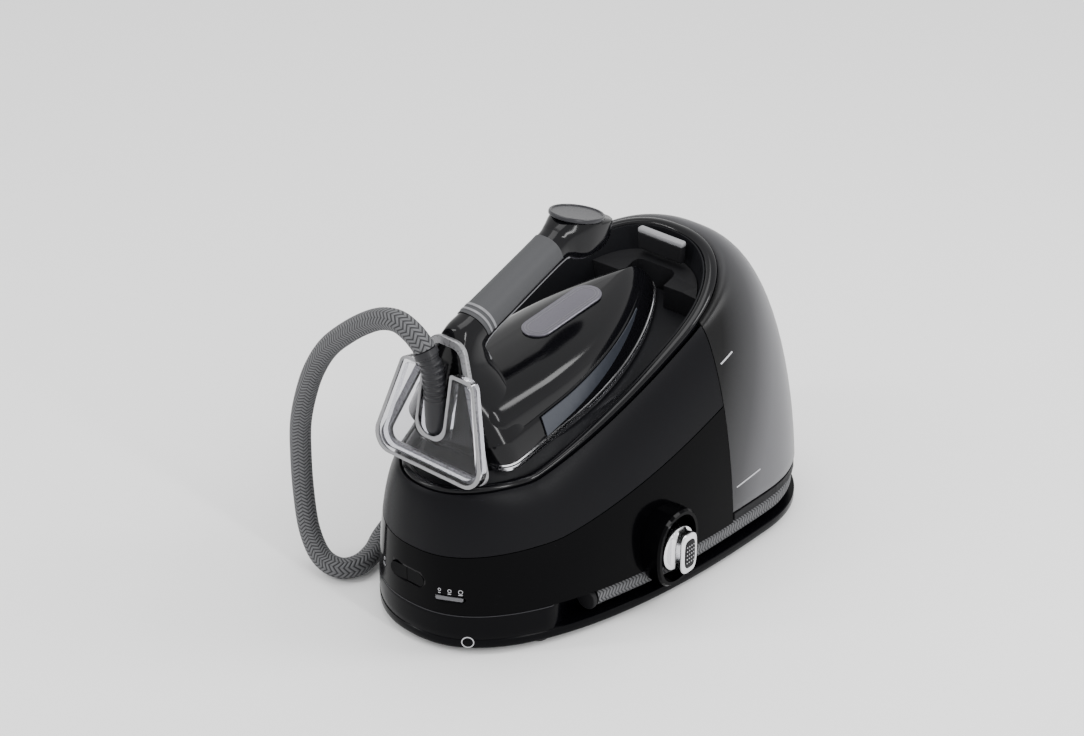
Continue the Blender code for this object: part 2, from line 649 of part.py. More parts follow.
def sole_outline(z, narrow=0.0, nose_back=0.0, heel_forward=0.0, width_scale=1.0):
    """The sole's outline at a height, drawn in by narrow at the sides, and shortened at nose and heel."""
    length = SOLE_LENGTH - nose_back - heel_forward
    right = [Vector((0, -nose_back, z))]
    for i in range(1, SIDE_POINTS + 1):
        back = (length - CORNER) * (1 - cos(pi / 2 * i / SIDE_POINTS)) ** 1.1
        x = sole_half_width(back) * (1 - narrow / SOLE_HALF_WIDTH) * width_scale
        right.append(Vector((x, -nose_back - back, z)))
    edge = right[-1]
    turn_in = min(CORNER, 0.7 * edge.x)
    for i in range(1, 5):
        a = pi / 2 * i / 4
        right.append(Vector((edge.x - turn_in * (1 - cos(a)), edge.y - CORNER * sin(a), z)))
    return right + [Vector((-p.x, p.y, p.z)) for p in reversed(right[1:])]


loft("soleplate", [sole_outline(0.0006, 0.0012, 0.002, 0.001), sole_outline(0.0018), sole_outline(SOLE_THICKNESS)],
     CHROME, iron)
loft("heater_block", [sole_outline(z, 0.014, 0.035, 0.030) for z in (SOLE_THICKNESS + GAP, 0.0150)], ALUMINIUM, iron)
loft("steam_chamber_cover", [sole_outline(z, 0.016, 0.040, 0.034) for z in (0.0154, 0.0172)], STEEL, iron)
cylinder("iron_thermostat", 0.0085, 0.0070, (0, -0.125, 0.0176), "Z", STEEL, iron)
block("thermal_fuse", (0.0200, 0.0060, 0.0050), (0, -0.160, 0.0202), WHITE_NYLON, iron, bevel=0.001)
SKIRT_TOP = 0.0290
SKIRT_WALL = 0.0025
skirt_outer = [sole_outline(SOLE_THICKNESS + GAP, 0.0010, 0.001), sole_outline(0.014, 0.0020, 0.004),
               sole_outline(SKIRT_TOP, 0.0060, 0.013)]
skirt_inner = [sole_outline(SKIRT_TOP, 0.0060 + SKIRT_WALL, 0.013 + 0.008, SKIRT_WALL),
               sole_outline(0.014, 0.0020 + SKIRT_WALL, 0.004 + 0.008, SKIRT_WALL),
               sole_outline(SOLE_THICKNESS + GAP, 0.0010 + SKIRT_WALL, 0.001 + 0.008, SKIRT_WALL)]
loft("iron_skirt", skirt_outer + skirt_inner, GLOSS_BLACK, iron, around=True)

BODY_TOP = 0.0470
RIDGE_RISE = 0.10              # how much the body's top rises towards the back, per metre
RIDGE_LEVEL_Y = -0.080


def raised(ring_points, low, high):
    """The ring with its points lifted towards the back, more so the higher they are."""
    return [p + Vector((0, 0, RIDGE_RISE * (RIDGE_LEVEL_Y - p.y) * max(0.0, (p.z - low) / (high - low))))
            for p in ring_points]


body_rings = [(SKIRT_TOP + GAP, 0.0064, 0.0136, 0.000, 1.00), (0.0350, 0.0080, 0.0170, 0.000, 0.99),
              (0.0400, 0.0110, 0.0205, 0.001, 0.95), (0.0435, 0.0150, 0.0250, 0.002, 0.84),
              (0.0460, 0.0180, 0.0320, 0.004, 0.64), (BODY_TOP, 0.0200, 0.0430, 0.008, 0.36)]
iron_body = loft("iron_body", [raised(sole_outline(z, narrow, nose, heel, scale), SKIRT_TOP, BODY_TOP)
                               for z, narrow, nose, heel, scale in body_rings], GLOSS_BLACK, iron)
body_hollow = loft("body_hollow", [sole_outline(z, narrow + 0.003, nose + 0.010, heel + 0.062, scale)
                                   for z, narrow, nose, heel, scale in
                                   ((0.0200, 0.0064, 0.0136, 0.0, 1.0), (0.0360, 0.0100, 0.0200, 0.0, 0.95),
                                    (0.0410, 0.0160, 0.0300, 0.002, 0.70))], None, iron, collection=tools)
cut(iron_body, body_hollow)

# handle: a column on the rear of the body that bends forwards into a grip with a free front end
HANDLE_PATH = [  # y, z, tangent in degrees from forwards, half width across, half depth, squareness
    (-0.2350, SKIRT_TOP + GAP, 90, 0.0520, 0.0320, 2.4), (-0.2330, 0.0450, 88, 0.0430, 0.0315, 2.4),
    (-0.2320, 0.0620, 84, 0.0310, 0.0300, 2.4), (-0.2300, 0.0790, 70, 0.0210, 0.0265, 2.4),
    (-0.2215, 0.0935, 38, 0.0160, 0.0230, 2.4), (-0.2110, 0.1015, 14, 0.0142, 0.0150, 2.4),
    (-0.1640, 0.1088, 8, 0.0138, 0.0140, 2.4), (-0.1170, 0.1155, 8, 0.0138, 0.0140, 2.4),
    (-0.1060, 0.1168, 2, 0.0150, 0.0158, 2.6), (-0.0965, 0.1165, -8, 0.0185, 0.0195, 3.0),
    (-0.0870, 0.1150, -16, 0.0208, 0.0212, 3.4), (-0.0770, 0.1130, -22, 0.0213, 0.0215, 3.4),
    (-0.0670, 0.1095, -26, 0.0203, 0.0200, 3.2), (-0.0600, 0.1065, -26, 0.0170, 0.0165, 2.8),
    (-0.0560, 0.1045, -26, 0.0110, 0.0110, 2.4)]


def handle_ring(y, z, tangent, half_x, half_t, power, grow=0.0, count=24):
    """A cross-section of the handle, square to its path."""
    up = Vector((0, -sin(radians(tangent)), cos(radians(tangent))))
    points = []
    for i in range(count):
        c, s = cos(2 * pi * i / count), sin(2 * pi * i / count)
        x = (half_x + grow) * abs(c) ** (2 / power) * (1 if c > 0 else -1)
        t = (half_t + grow) * abs(s) ** (2 / power) * (1 if s > 0 else -1)
        points.append(Vector((x, y, z)) + up * t)
    return points


handle = loft("handle_shell", [handle_ring(*spot) for spot in HANDLE_PATH], GLOSS_BLACK, iron)
seat_foot = (HANDLE_PATH[0][0], 0.0150, *HANDLE_PATH[0][2:])
cut(iron_body, loft("handle_seat", [handle_ring(*spot, grow=0.0020) for spot in
                                    [seat_foot] + HANDLE_PATH[:5]], None, iron,
                    collection=tools))

cut(iron_body, block("body_end", (0.140, 0.060, 0.080), (0, -0.2500, 0.0500), None, iron, collection=tools))

# the soft grip is a sleeve over the handle's upper side, let into the shell
GRIP_TILT = radians(8.5)
GRIP_MIDDLE_Y = -0.1640


def grip_underside(name, length, top):
    """What cuts a grip piece off along its lower edge: a block with its top at that height under the grip."""
    return block(name, (0.060, length, 0.040), (0, GRIP_MIDDLE_Y, top - 0.020), None, iron, tilt=GRIP_TILT,
                 collection=tools)


GRIP_PATH = HANDLE_PATH[5:8]
CORE_PATH = [(-0.2220, 0.0999, 8, 0.0142, 0.0150, 2.4), GRIP_PATH[1], (-0.1060, 0.1171, 8, 0.0138, 0.0140, 2.4)]
sleeve = loft("handle_grip", [handle_ring(*spot, grow=0.0008) for spot in GRIP_PATH], SOFT_GREY, iron)
cut(sleeve, loft("grip_core", [handle_ring(*spot, grow=-0.0016) for spot in CORE_PATH], None, iron, collection=tools))
cut(sleeve, grip_underside("grip_lower_edge", 0.120, 0.1054))
first = (GRIP_PATH[0][0] - GAP, *GRIP_PATH[0][1:])
last = (GRIP_PATH[-1][0] + GAP, *GRIP_PATH[-1][1:])
recess = loft("grip_recess", [handle_ring(*spot, grow=0.004) for spot in (first, GRIP_PATH[1], last)], None, iron,
              collection=tools)
cut(recess, loft("recess_core", [handle_ring(*spot, grow=-0.0020) for spot in CORE_PATH], None, iron,
                 collection=tools))
cut(recess, grip_underside("recess_lower_edge", 0.130, 0.1050))
cut(handle, recess)

# the head's flat top is a separate cap, tipped forwards
CAP_SPOT = Vector((0, -0.0790, 0.1290))
CAP_TILT = radians(-26)
CAP_HALF = (0.0215, 0.0255)
CAP_THICKNESS = 0.0036
cap = cylinder("handle_head_cap", 1.0, CAP_THICKNESS, CAP_SPOT, "Z", GLOSS_BLACK, iron, sides=36)
cap.data.transform(Matrix.Translation((0, 0, -CAP_THICKNESS)) @ Matrix.Diagonal((*CAP_HALF, 1, 1)))
cap.rotation_euler = (CAP_TILT, 0, 0)
edge = cap.modifiers.new("rounding", "BEVEL")
edge.width = 0.0012
edge.segments = 2
edge.limit_method = "ANGLE"
cap_space = block("cap_space", (0.080, 0.064, 0.040), (0, 0, 0), None, iron, collection=tools)
cap_space.data.transform(Matrix.Translation((0, 0, 0.020 - CAP_THICKNESS - GAP)))
cap_space.location = CAP_SPOT
cap_space.rotation_euler = (CAP_TILT, 0, 0)
cut(handle, cap_space)

# trigger, its spring and its switch in pockets of the handle's underside
TRIGGER_SIZE = (0.0130, 0.0360, 0.0080)
TRIGGER_SPOT = Vector((0, -0.1260, 0.1000))
TRIGGER_TRAVEL = 0.0042
POCKET_DEPTH = 0.0300
GRIP_UP = Vector((0, -sin(GRIP_TILT), cos(GRIP_TILT)))
POCKET_SPOT = TRIGGER_SPOT + GRIP_UP * (TRIGGER_SIZE[2] / 2 + TRIGGER_TRAVEL - POCKET_DEPTH / 2)
cut(handle, block("trigger_pocket", (TRIGGER_SIZE[0] + 0.001, TRIGGER_SIZE[1] + 0.001, POCKET_DEPTH),
                  POCKET_SPOT, None, iron, tilt=GRIP_TILT, collection=tools))
block("steam_trigger", TRIGGER_SIZE, TRIGGER_SPOT, GLOSS_BLACK, iron, bevel=0.0012, tilt=GRIP_TILT)
cylinder("trigger_spring", 0.0016, 0.0024, TRIGGER_SPOT + Vector((0, 0.004, 0.0054)), "Z", STEEL, iron, sides=12)
cut(handle, block("switch_pocket", (0.0140, 0.0120, 0.0300), (0, -0.0850, 0.0980), None, iron, collection=tools))
block("steam_switch", (0.0130, 0.0110, 0.0080), (0, -0.0850, 0.1060), WHITE_NYLON, iron, bevel=0.0006)

# a pill-shaped plate on the ridge of the body
PLATE_SPOT = Vector((0, -0.1130, BODY_TOP + RIDGE_RISE * 0.033 + 0.0012))
plate = pill_cutter("body_top_plate", 0.0860, 0.0270, PLATE_SPOT, 0.0014)
tools.objects.unlink(plate)
parts.objects.link(plate)
plate.parent = iron
lay_flat = Matrix(((0, 0, 1), (1, 0, 0), (0, 1, 0)))
plate.rotation_euler = (Matrix.Rotation(-atan2(RIDGE_RISE, 1.0), 3, "X") @ lay_flat).to_euler()
plate.data.materials.append(SILVER)

# satin bands let onto the skirt's sides: pointed in front, as high as the skirt at the back
BAND_FRONT, BAND_REAR = 0.0560, 0.2050
BAND_THICKNESS = 0.0007
BAND_STANDOFF = 0.0016
BAND_LOW_REAR_Z, BAND_TOP_Z = 0.0100, 0.0280


def skirt_point(back, z, side, out):
    """A point on the skirt's side, moved outwards."""
    t = (z - SOLE_THICKNESS) / (SKIRT_TOP - SOLE_THICKNESS)
    narrow = 0.0010 + 0.0050 * t
    nose_back = 0.001 + 0.012 * t
    x = sole_half_width(max(0.0, back - nose_back)) * (1 - narrow / SOLE_HALF_WIDTH)
    return Vector((side * (x + out), -back, z))


def accent(name, side):
    grids = []
    for out in (BAND_STANDOFF, BAND_STANDOFF + BAND_THICKNESS):
        grid = []
        for i in range(15):
            t = i / 14
            back = BAND_FRONT + (BAND_REAR - BAND_FRONT) * t
            low = BAND_TOP_Z - 0.0012 - (BAND_TOP_Z - 0.0012 - BAND_LOW_REAR_Z) * t ** 0.8
            grid.append([skirt_point(back, low + (BAND_TOP_Z - low) * j / 2, side, out) for j in range(3)])
        grids.append(grid)
    slab(name, grids[0], grids[1], SATIN_GREY, iron)


accent("accent_left", -1)
accent("accent_right", 1)

# heel rest: a clear plate that leans forwards, with a rim and a notch for the hose's strain relief
HEEL_SPOT = Vector((0, -0.2895, 0.0110))
HEEL_LEAN = radians(-22.5)
heel = empty("heel_frame", iron, HEEL_SPOT, HEEL_LEAN)


def rounded(corners, radii, steps=5):
    """A closed outline of (x, z) corners, each rounded with its radius."""
    out = []
    count = len(corners)
    for i in range(count):
        here = Vector(corners[i])
        to_last = (Vector(corners[i - 1]) - here).normalized()
        to_next = (Vector(corners[(i + 1) % count]) - here).normalized()
        half = to_last.angle(to_next) / 2
        reach = radii[i] / max(1e-6, abs(cos(half) / sin(half)) ** -1)
        centre = here + (to_last + to_next).normalized() * (radii[i] / sin(half))
        start, end = here + to_last * reach, here + to_next * reach
        for k in range(steps + 1):
            spoke = (start - centre).lerp(end - centre, k / steps).normalized() * radii[i]
            out.append(centre + spoke)
    return [Vector((p.x, 0, p.y)) for p in out]


def plate_between(name, outline, front, back, finish, collection=parts):
    rows = [[p + Vector((0, y, 0)) for p in outline] for y in (front, back)]
    return loft(name, rows, finish, heel, collection=collection)


HEEL_HALF, HEEL_TOP_HALF, HEEL_HEIGHT = 0.0610, 0.0370, 0.0860
NOTCH_HALF, NOTCH_LOW = 0.0135, 0.0300
HEEL_DEPTH, HEEL_RIM = 0.0080, 0.0055
outer = rounded([(-HEEL_HALF, 0), (HEEL_HALF, 0), (HEEL_TOP_HALF, HEEL_HEIGHT), (NOTCH_HALF, HEEL_HEIGHT),
                 (NOTCH_HALF, NOTCH_LOW), (-NOTCH_HALF, NOTCH_LOW), (-NOTCH_HALF, HEEL_HEIGHT),
                 (-HEEL_TOP_HALF, HEEL_HEIGHT)], [0.016, 0.016, 0.008, 0.002, 0.013, 0.013, 0.002, 0.008])
heel_rest = plate_between("heel_rest", outer, 0.0, HEEL_DEPTH, CLEAR_GREY)
hollow_outline = rounded([(-HEEL_HALF + 0.009, HEEL_RIM), (HEEL_HALF - 0.009, HEEL_RIM),
                          (HEEL_TOP_HALF - 0.003, HEEL_HEIGHT - HEEL_RIM), (NOTCH_HALF + 0.004, HEEL_HEIGHT - HEEL_RIM),
                          (NOTCH_HALF + 0.004, NOTCH_LOW - 0.006), (-NOTCH_HALF - 0.004, NOTCH_LOW - 0.006),
                          (-NOTCH_HALF - 0.004, HEEL_HEIGHT - HEEL_RIM), (-HEEL_TOP_HALF + 0.003, HEEL_HEIGHT - HEEL_RIM)],
                         [0.012, 0.012, 0.005, 0.002, 0.010, 0.010, 0.002, 0.005])
cut(heel_rest, plate_between("heel_hollow", hollow_outline, 0.0030, 0.0200, None, tools))

TRIM_DEPTH = (HEEL_DEPTH + GAP, HEEL_DEPTH + 0.0048)
trim_outer = rounded([(-0.0600, 0.0020), (0.0600, 0.0020), (0.0160, 0.1100), (-0.0160, 0.1100)], [0.010, 0.010, 0.014, 0.014])
trim_inner = rounded([(-0.0510, 0.0080), (0.0510, 0.0080), (0.0125, 0.1030), (-0.0125, 0.1030)], [0.008, 0.008, 0.011, 0.011])
front, back = TRIM_DEPTH
loft("heel_trim", [[p + Vector((0, y, 0)) for p in outline] for outline, y in
                   ((trim_outer, front), (trim_outer, back), (trim_inner, back), (trim_inner, front))],
     SATIN_GREY, heel, around=True)
behind = block("behind_trim", (0.200, 0.080, 0.260), (0, back + GAP - 0.040, 0.050), None, heel, collection=tools)
cut(handle, behind)

# the strain relief stands upright in the notch and turns towards the hose at its top
RELIEF_PATH = [(0, -0.1750, 0.1790), (0, -0.1757, 0.2000), (0, -0.1765, 0.2250), (-0.0022, -0.1775, 0.2420),
               (-0.0075, -0.1785, 0.2530)]
RELIEF_RADIUS = 0.0086


def bar_along(name, points, radius, finish, parent, collection, grow=0.0):
    """A round bar along a path, as a mesh."""
    points = [Vector(p) for p in points]
    rings = []
    for i, p in enumerate(points):
        ahead = (points[min(i + 1, len(points) - 1)] - points[max(i - 1, 0)]).normalized()
        across = ahead.cross(Vector((0, 1, 0))).normalized()
        other = across.cross(ahead)
        rings.append([p + (across * cos(2 * pi * k / 20) + other * sin(2 * pi * k / 20)) * (radius + grow)
                      for k in range(20)])
    return loft(name, rings, finish, parent, collection=collection)


relief_points = smooth_path(RELIEF_PATH, 0.008)
bar_along("strain_relief", relief_points, RELIEF_RADIUS, RUBBER, station, parts)
relief_space = bar_along("relief_space", [relief_points[0] - Vector((0, 0, 0.010))] + relief_points, RELIEF_RADIUS,
                         None, station, tools, grow=0.0010)
cut(handle, relief_space)
cut(heel_rest, relief_space)

# ---- steam hose ---------------------------------------------------------------------------------
HOSE_INSET = 0.0118


def groove_spot(degrees_round):
    x, y = egg(radians(degrees_round), **FLOOR_EGG, inset=HOSE_INSET)
    return (x, y, HOSE_GROOVE_Z)


RELIEF_END = Vector(RELIEF_PATH[-1])
HOSE_START = (RELIEF_END - relief_points[-2]).normalized()
HOSE_ROUTE = [
    tuple(RELIEF_END + HOSE_START * 0.0040), (-0.0185, -0.1795, 0.2640), (-0.0330, -0.1800, 0.2690), (-0.0510, -0.1800, 0.2650),
    (-0.0700, -0.1800, 0.2540), (-0.0905, -0.1800, 0.2380), (-0.1105, -0.1800, 0.2190), (-0.1255, -0.1800, 0.1980),
    (-0.1380, -0.1800, 0.1720), (-0.1490, -0.1800, 0.1350), (-0.1515, -0.1800, 0.1000), (-0.1490, -0.1815, 0.0640),
    (-0.1405, -0.1850, 0.0330), (-0.1240, -0.1885, 0.0150), (-0.1060, -0.1860, 0.0100), (-0.0965, -0.1730, 0.0104),
    (-0.0985, -0.1530, 0.0120), (-0.1045, -0.1350, 0.0170), (-0.1050, -0.1170, 0.0242),
    (-0.0985, -0.0950, 0.0270)]
GROOVE_ANGLES = [-154, -166, 180, 166, 152, 138, 124, 110, 96, 84, 70, 56, 42, 28, 14, 0, -14, -24]
GLAND_SPOT = Vector((0.0938, -0.0960, HOSE_GROOVE_Z))
route = HOSE_ROUTE + [groove_spot(a) for a in GROOVE_ANGLES] + [tuple(GLAND_SPOT + Vector((0, 0.0004, 0)))]
tube("steam_hose", [RELIEF_END + HOSE_START * 0.0005] + smooth_path(route, 0.020), HOSE_RADIUS, BRAID, resolution=2)
cylinder("hose_gland", 0.0096, 0.0045, GLAND_SPOT - Vector((0, 0.0080, 0)), "Y", RUBBER, bevel=0.001)
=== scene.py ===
import bpy
import bmesh
import json
from math import atan2, cos, pi, radians, sin, sqrt
from mathutils import Matrix, Vector


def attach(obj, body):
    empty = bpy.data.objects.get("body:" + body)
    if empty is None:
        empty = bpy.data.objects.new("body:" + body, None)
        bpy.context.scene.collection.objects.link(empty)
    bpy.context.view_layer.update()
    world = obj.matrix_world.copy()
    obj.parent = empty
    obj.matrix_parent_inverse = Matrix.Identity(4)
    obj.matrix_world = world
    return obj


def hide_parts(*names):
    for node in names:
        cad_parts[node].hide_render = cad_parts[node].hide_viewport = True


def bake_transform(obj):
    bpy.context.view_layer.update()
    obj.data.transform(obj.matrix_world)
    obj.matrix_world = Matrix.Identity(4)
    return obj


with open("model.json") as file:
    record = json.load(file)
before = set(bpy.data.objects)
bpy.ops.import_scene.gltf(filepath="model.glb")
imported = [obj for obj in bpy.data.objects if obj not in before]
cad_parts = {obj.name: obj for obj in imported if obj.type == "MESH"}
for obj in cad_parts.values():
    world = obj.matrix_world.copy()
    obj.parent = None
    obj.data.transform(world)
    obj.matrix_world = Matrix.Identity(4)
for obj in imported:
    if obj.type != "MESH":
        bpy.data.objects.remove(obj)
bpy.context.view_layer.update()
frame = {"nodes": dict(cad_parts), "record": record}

# ---- sizes shared with the CAD, in metres -------------------------------------------------------
CENTRE_X = -0.0075
OUTLINE_POWER = 2.3
FLOOR_EGG = dict(half=0.127, widest=0.10, front=-0.21, back=0.205)
RIM_EGG = dict(half=0.0825, widest=0.027, front=-0.1936, back=0.128)
SHELL_BOTTOM = 0.006
RIM_FRONT_Z, RIM_SLOPE, RIM_Z_AT_FRONT_EDGE, RIM_SLOPE_START = 0.1407, 0.402, 0.1278, -0.165
WALL_POWER_SIDE, WALL_POWER_FRONT, WALL_POWER_BACK = 1.8, 2.0, 2.35
RIM_WIDTH = 0.0100
PAN_TOP, PAN_FLANGE_TOP = 0.0370, 0.0140
GROOVE_DEPTH, GROOVE_START, GROOVE_RUN_IN = 0.0215, -0.140, 0.022
SEAM_Y = 0.051
WALL, GAP = 0.0025, 0.0003
NOSE = Vector((0.0, 0.096, 0.198))
IRON_TILT = atan2(0.2, 1.0)
SOLE_LENGTH, SOLE_HALF_WIDTH, SOLE_WIDEST, SOLE_THICKNESS = 0.252, 0.0575, 0.165, 0.0050
KNOB_Y, KNOB_Z, KNOB_FACE_X = -0.030, 0.0550, 0.142
PANEL_Z, PILL_X, PILL_SIZE = 0.0610, -0.0050, (0.0370, 0.0135)
HOSE_RADIUS, HOSE_GROOVE_Z = 0.0090, 0.0270
HEEL_SPOT, HEEL_LEAN = Vector((0, -0.2895, 0.0110)), radians(-22.5)

LEVER_SIZE, LEVER_Y, LEVER_FOOT_Z = (0.0480, 0.0070, 0.0200), 0.1039, 0.2266
FLAP_HEIGHTS, FLAP_HALF_TURN, FLAP_THICKNESS = (0.865, 0.955), 0.26, 0.0022
KNOB_BACK_X, KNOB_STEP_X, KNOB_RADIUS = 0.1232, 0.1312, 0.0195
HEEL_HALF, HEEL_TOP_HALF, HEEL_HEIGHT, HEEL_DEPTH, HEEL_RIM = 0.0610, 0.0370, 0.0860, 0.0080, 0.0055
NOTCH_HALF, NOTCH_LOW = 0.0135, 0.0300
ARCH_FRONT, ARCH_BACK = HEEL_DEPTH + GAP, HEEL_DEPTH + 0.0048
PLATE_LENGTH, PLATE_WIDTH = 0.0860, 0.0270

STATION = Matrix.Translation((CENTRE_X, 0, 0))
IRON = STATION @ Matrix.Translation(NOSE) @ Matrix.Rotation(IRON_TILT, 4, "X")
HEEL = IRON @ Matrix.Translation(HEEL_SPOT) @ Matrix.Rotation(HEEL_LEAN, 4, "X")


# ---- materials ----------------------------------------------------------------------------------
def new_material(name, colour, roughness, metallic=0.0, specular=0.5, **sockets):
    made = bpy.data.materials.new(name)
    made.use_nodes = True
    shader = made.node_tree.nodes["Principled BSDF"]
    shader.inputs["Base Color"].default_value = (*colour, 1)
    shader.inputs["Roughness"].default_value = roughness
    shader.inputs["Metallic"].default_value = metallic
    shader.inputs["Specular IOR Level"].default_value = specular
    for socket, value in sockets.items():
        shader.inputs[socket.replace("_", " ")].default_value = value
    return made


def add(made, kind, **values):
    node = made.node_tree.nodes.new(kind)
    for key, value in values.items():
        setattr(node, key, value)
    return node


def link(made, a, b):
    made.node_tree.links.new(a, b)


def speckle(made, scale, roughness=(0.3, 0.5), bump=0.0, distance=0.0002, stretch=(1, 1, 1), detail=4.0):
    """A fine grain in object space that varies the roughness and, where asked, the surface's height."""
    shader = made.node_tree.nodes["Principled BSDF"]
    place = add(made, "ShaderNodeTexCoord")
    spread = add(made, "ShaderNodeMapping")
    spread.inputs["Scale"].default_value = stretch
    noise = add(made, "ShaderNodeTexNoise")
    noise.inputs["Scale"].default_value = scale
    noise.inputs["Detail"].default_value = detail
    level = add(made, "ShaderNodeMapRange")
    level.inputs["From Min"].default_value = 0.3
    level.inputs["From Max"].default_value = 0.7
    level.inputs["To Min"].default_value = roughness[0]
    level.inputs["To Max"].default_value = roughness[1]
    link(made, place.outputs["Object"], spread.inputs["Vector"])
    link(made, spread.outputs["Vector"], noise.inputs["Vector"])
    link(made, noise.outputs["Fac"], level.inputs["Value"])
    link(made, level.outputs["Result"], shader.inputs["Roughness"])
    if bump:
        height = add(made, "ShaderNodeBump")
        height.inputs["Strength"].default_value = bump
        height.inputs["Distance"].default_value = distance
        link(made, noise.outputs["Fac"], height.inputs["Height"])
        link(made, height.outputs["Normal"], shader.inputs["Normal"])
    return made


def tinted(made, scale, dark, light, stretch=(1, 1, 1)):
    """A slow drift between two colours over the surface, in object space."""
    shader = made.node_tree.nodes["Principled BSDF"]
    place = add(made, "ShaderNodeTexCoord")
    spread = add(made, "ShaderNodeMapping")
    spread.inputs["Scale"].default_value = stretch
    noise = add(made, "ShaderNodeTexNoise")
    noise.inputs["Scale"].default_value = scale
    ramp = add(made, "ShaderNodeValToRGB")
    ramp.color_ramp.elements[0].position, ramp.color_ramp.elements[1].position = 0.35, 0.65
    ramp.color_ramp.elements[0].color, ramp.color_ramp.elements[1].color = (*dark, 1), (*light, 1)
    link(made, place.outputs["Object"], spread.inputs["Vector"])
    link(made, spread.outputs["Vector"], noise.inputs["Vector"])
    link(made, noise.outputs["Fac"], ramp.inputs["Fac"])
    link(made, ramp.outputs["Color"], shader.inputs["Base Color"])
    return made


MATTE_BLACK = speckle(new_material("matte_black_shell", (0.0030, 0.0030, 0.0040), 0.4, specular=0.09),
                      900, (0.34, 0.44), 0.10, 0.00008)
GLOSS_BLACK = speckle(new_material("gloss_black_shell", (0.0008, 0.0008, 0.0011), 0.1, specular=0.045), 30,
                      (0.10, 0.15))
PAN_BLACK = speckle(new_material("base_black", (0.0012, 0.0012, 0.0018), 0.2, specular=0.06), 60,
                    (0.18, 0.26))
IRON_BLACK = speckle(new_material("iron_gloss_black", (0.0030, 0.0030, 0.0038), 0.1, specular=0.20), 40,
                     (0.10, 0.15))
TRAY_BLACK = speckle(new_material("tray_satin_black", (0.0060, 0.0062, 0.0075), 0.4, specular=0.10), 700,
                     (0.38, 0.50), 0.12)
GRIP_GREY = speckle(new_material("grip_soft_grey", (0.042, 0.043, 0.046), 0.6, specular=0.30), 1500,
                    (0.52, 0.66), 0.35)
PALE_GREY = speckle(new_material("pale_grey_plastic", (0.20, 0.20, 0.21), 0.3), 500, (0.28, 0.38), 0.06)
TRIM_GREY = speckle(new_material("silver_trim", (0.24, 0.24, 0.25), 0.3, 0.5), 400, (0.24, 0.34))
LILAC_SILVER = speckle(new_material("lilac_silver", (0.105, 0.100, 0.122), 0.3, 0.35), 1200, (0.26, 0.38),
                       0.05)
BAND_GREY = speckle(new_material("satin_band", (0.030, 0.034, 0.044), 0.3, 0.3), 600, (0.28, 0.36))
CHROME = speckle(new_material("chrome_satin", (0.78, 0.78, 0.80), 0.15, 1.0), 200, (0.12, 0.20))
SOLE_STEEL = speckle(new_material("sole_steel", (0.74, 0.74, 0.77), 0.2, 1.0), 300, (0.14, 0.24),
                     stretch=(1, 8, 1))
STEEL = speckle(new_material("plain_steel", (0.48, 0.48, 0.50), 0.3, 1.0), 300, (0.26, 0.38))
ALUMINIUM = speckle(new_material("cast_alloy", (0.55, 0.55, 0.56), 0.45, 1.0), 500, (0.40, 0.55), 0.2)
BRASS = speckle(new_material("brass_fitting", (0.62, 0.45, 0.18), 0.3, 1.0), 300, (0.25, 0.40))
RUBBER = speckle(new_material("black_rubber", (0.0080, 0.0080, 0.0090), 0.6, specular=0.15), 800,
                 (0.50, 0.65), 0.15)
RELIEF_RUBBER = speckle(new_material("relief_rubber", (0.0130, 0.0130, 0.0150), 0.45, specular=0.25), 800,
                        (0.36, 0.48), 0.1)
NYLON = speckle(new_material("white_nylon", (0.62, 0.61, 0.57), 0.45), 300, (0.40, 0.52))
BOARD = tinted(speckle(new_material("circuit_board", (0.02, 0.12, 0.05), 0.4), 200, (0.35, 0.5)), 300,
               (0.012, 0.08, 0.03), (0.03, 0.15, 0.06))
SILICONE = speckle(new_material("silicone_tube", (0.5, 0.48, 0.42), 0.45), 300, (0.40, 0.50))
INNER_BLACK = speckle(new_material("inner_black", (0.0070, 0.0070, 0.0080), 0.5, specular=0.12), 400,
                      (0.45, 0.6))
SMOKED = speckle(new_material("smoked_tank_painted_light", (0.1, 0.1, 0.1), 0.35, specular=0.30, Transmission_Weight=0.30,
                              IOR=1.30), 20, (0.30, 0.36))
CLEAR_GREY = speckle(new_material("clear_heel", (0.72, 0.72, 0.75), 0.05, Transmission_Weight=1.0, IOR=1.25),
                     60, (0.03, 0.06))
CLEAR_EDGE = speckle(new_material("clear_edge", (0.34, 0.34, 0.35), 0.15, Transmission_Weight=0.4, IOR=1.4),
                     60, (0.10, 0.18))
LENS = speckle(new_material("lens_grey", (0.11, 0.11, 0.12), 0.2, Transmission_Weight=0.3), 200, (0.15, 0.25))
PRINT = speckle(new_material("print_grey", (0.42, 0.42, 0.44), 0.4), 500, (0.4, 0.5))


CAP_GREY = speckle(new_material("cap_dark_grey", (0.020, 0.020, 0.023), 0.3, specular=0.25), 900,
                   (0.26, 0.36), 0.05)
EDGE_GREY = speckle(new_material("edge_line_grey", (0.16, 0.16, 0.17), 0.35, specular=0.4), 600, (0.30, 0.40))


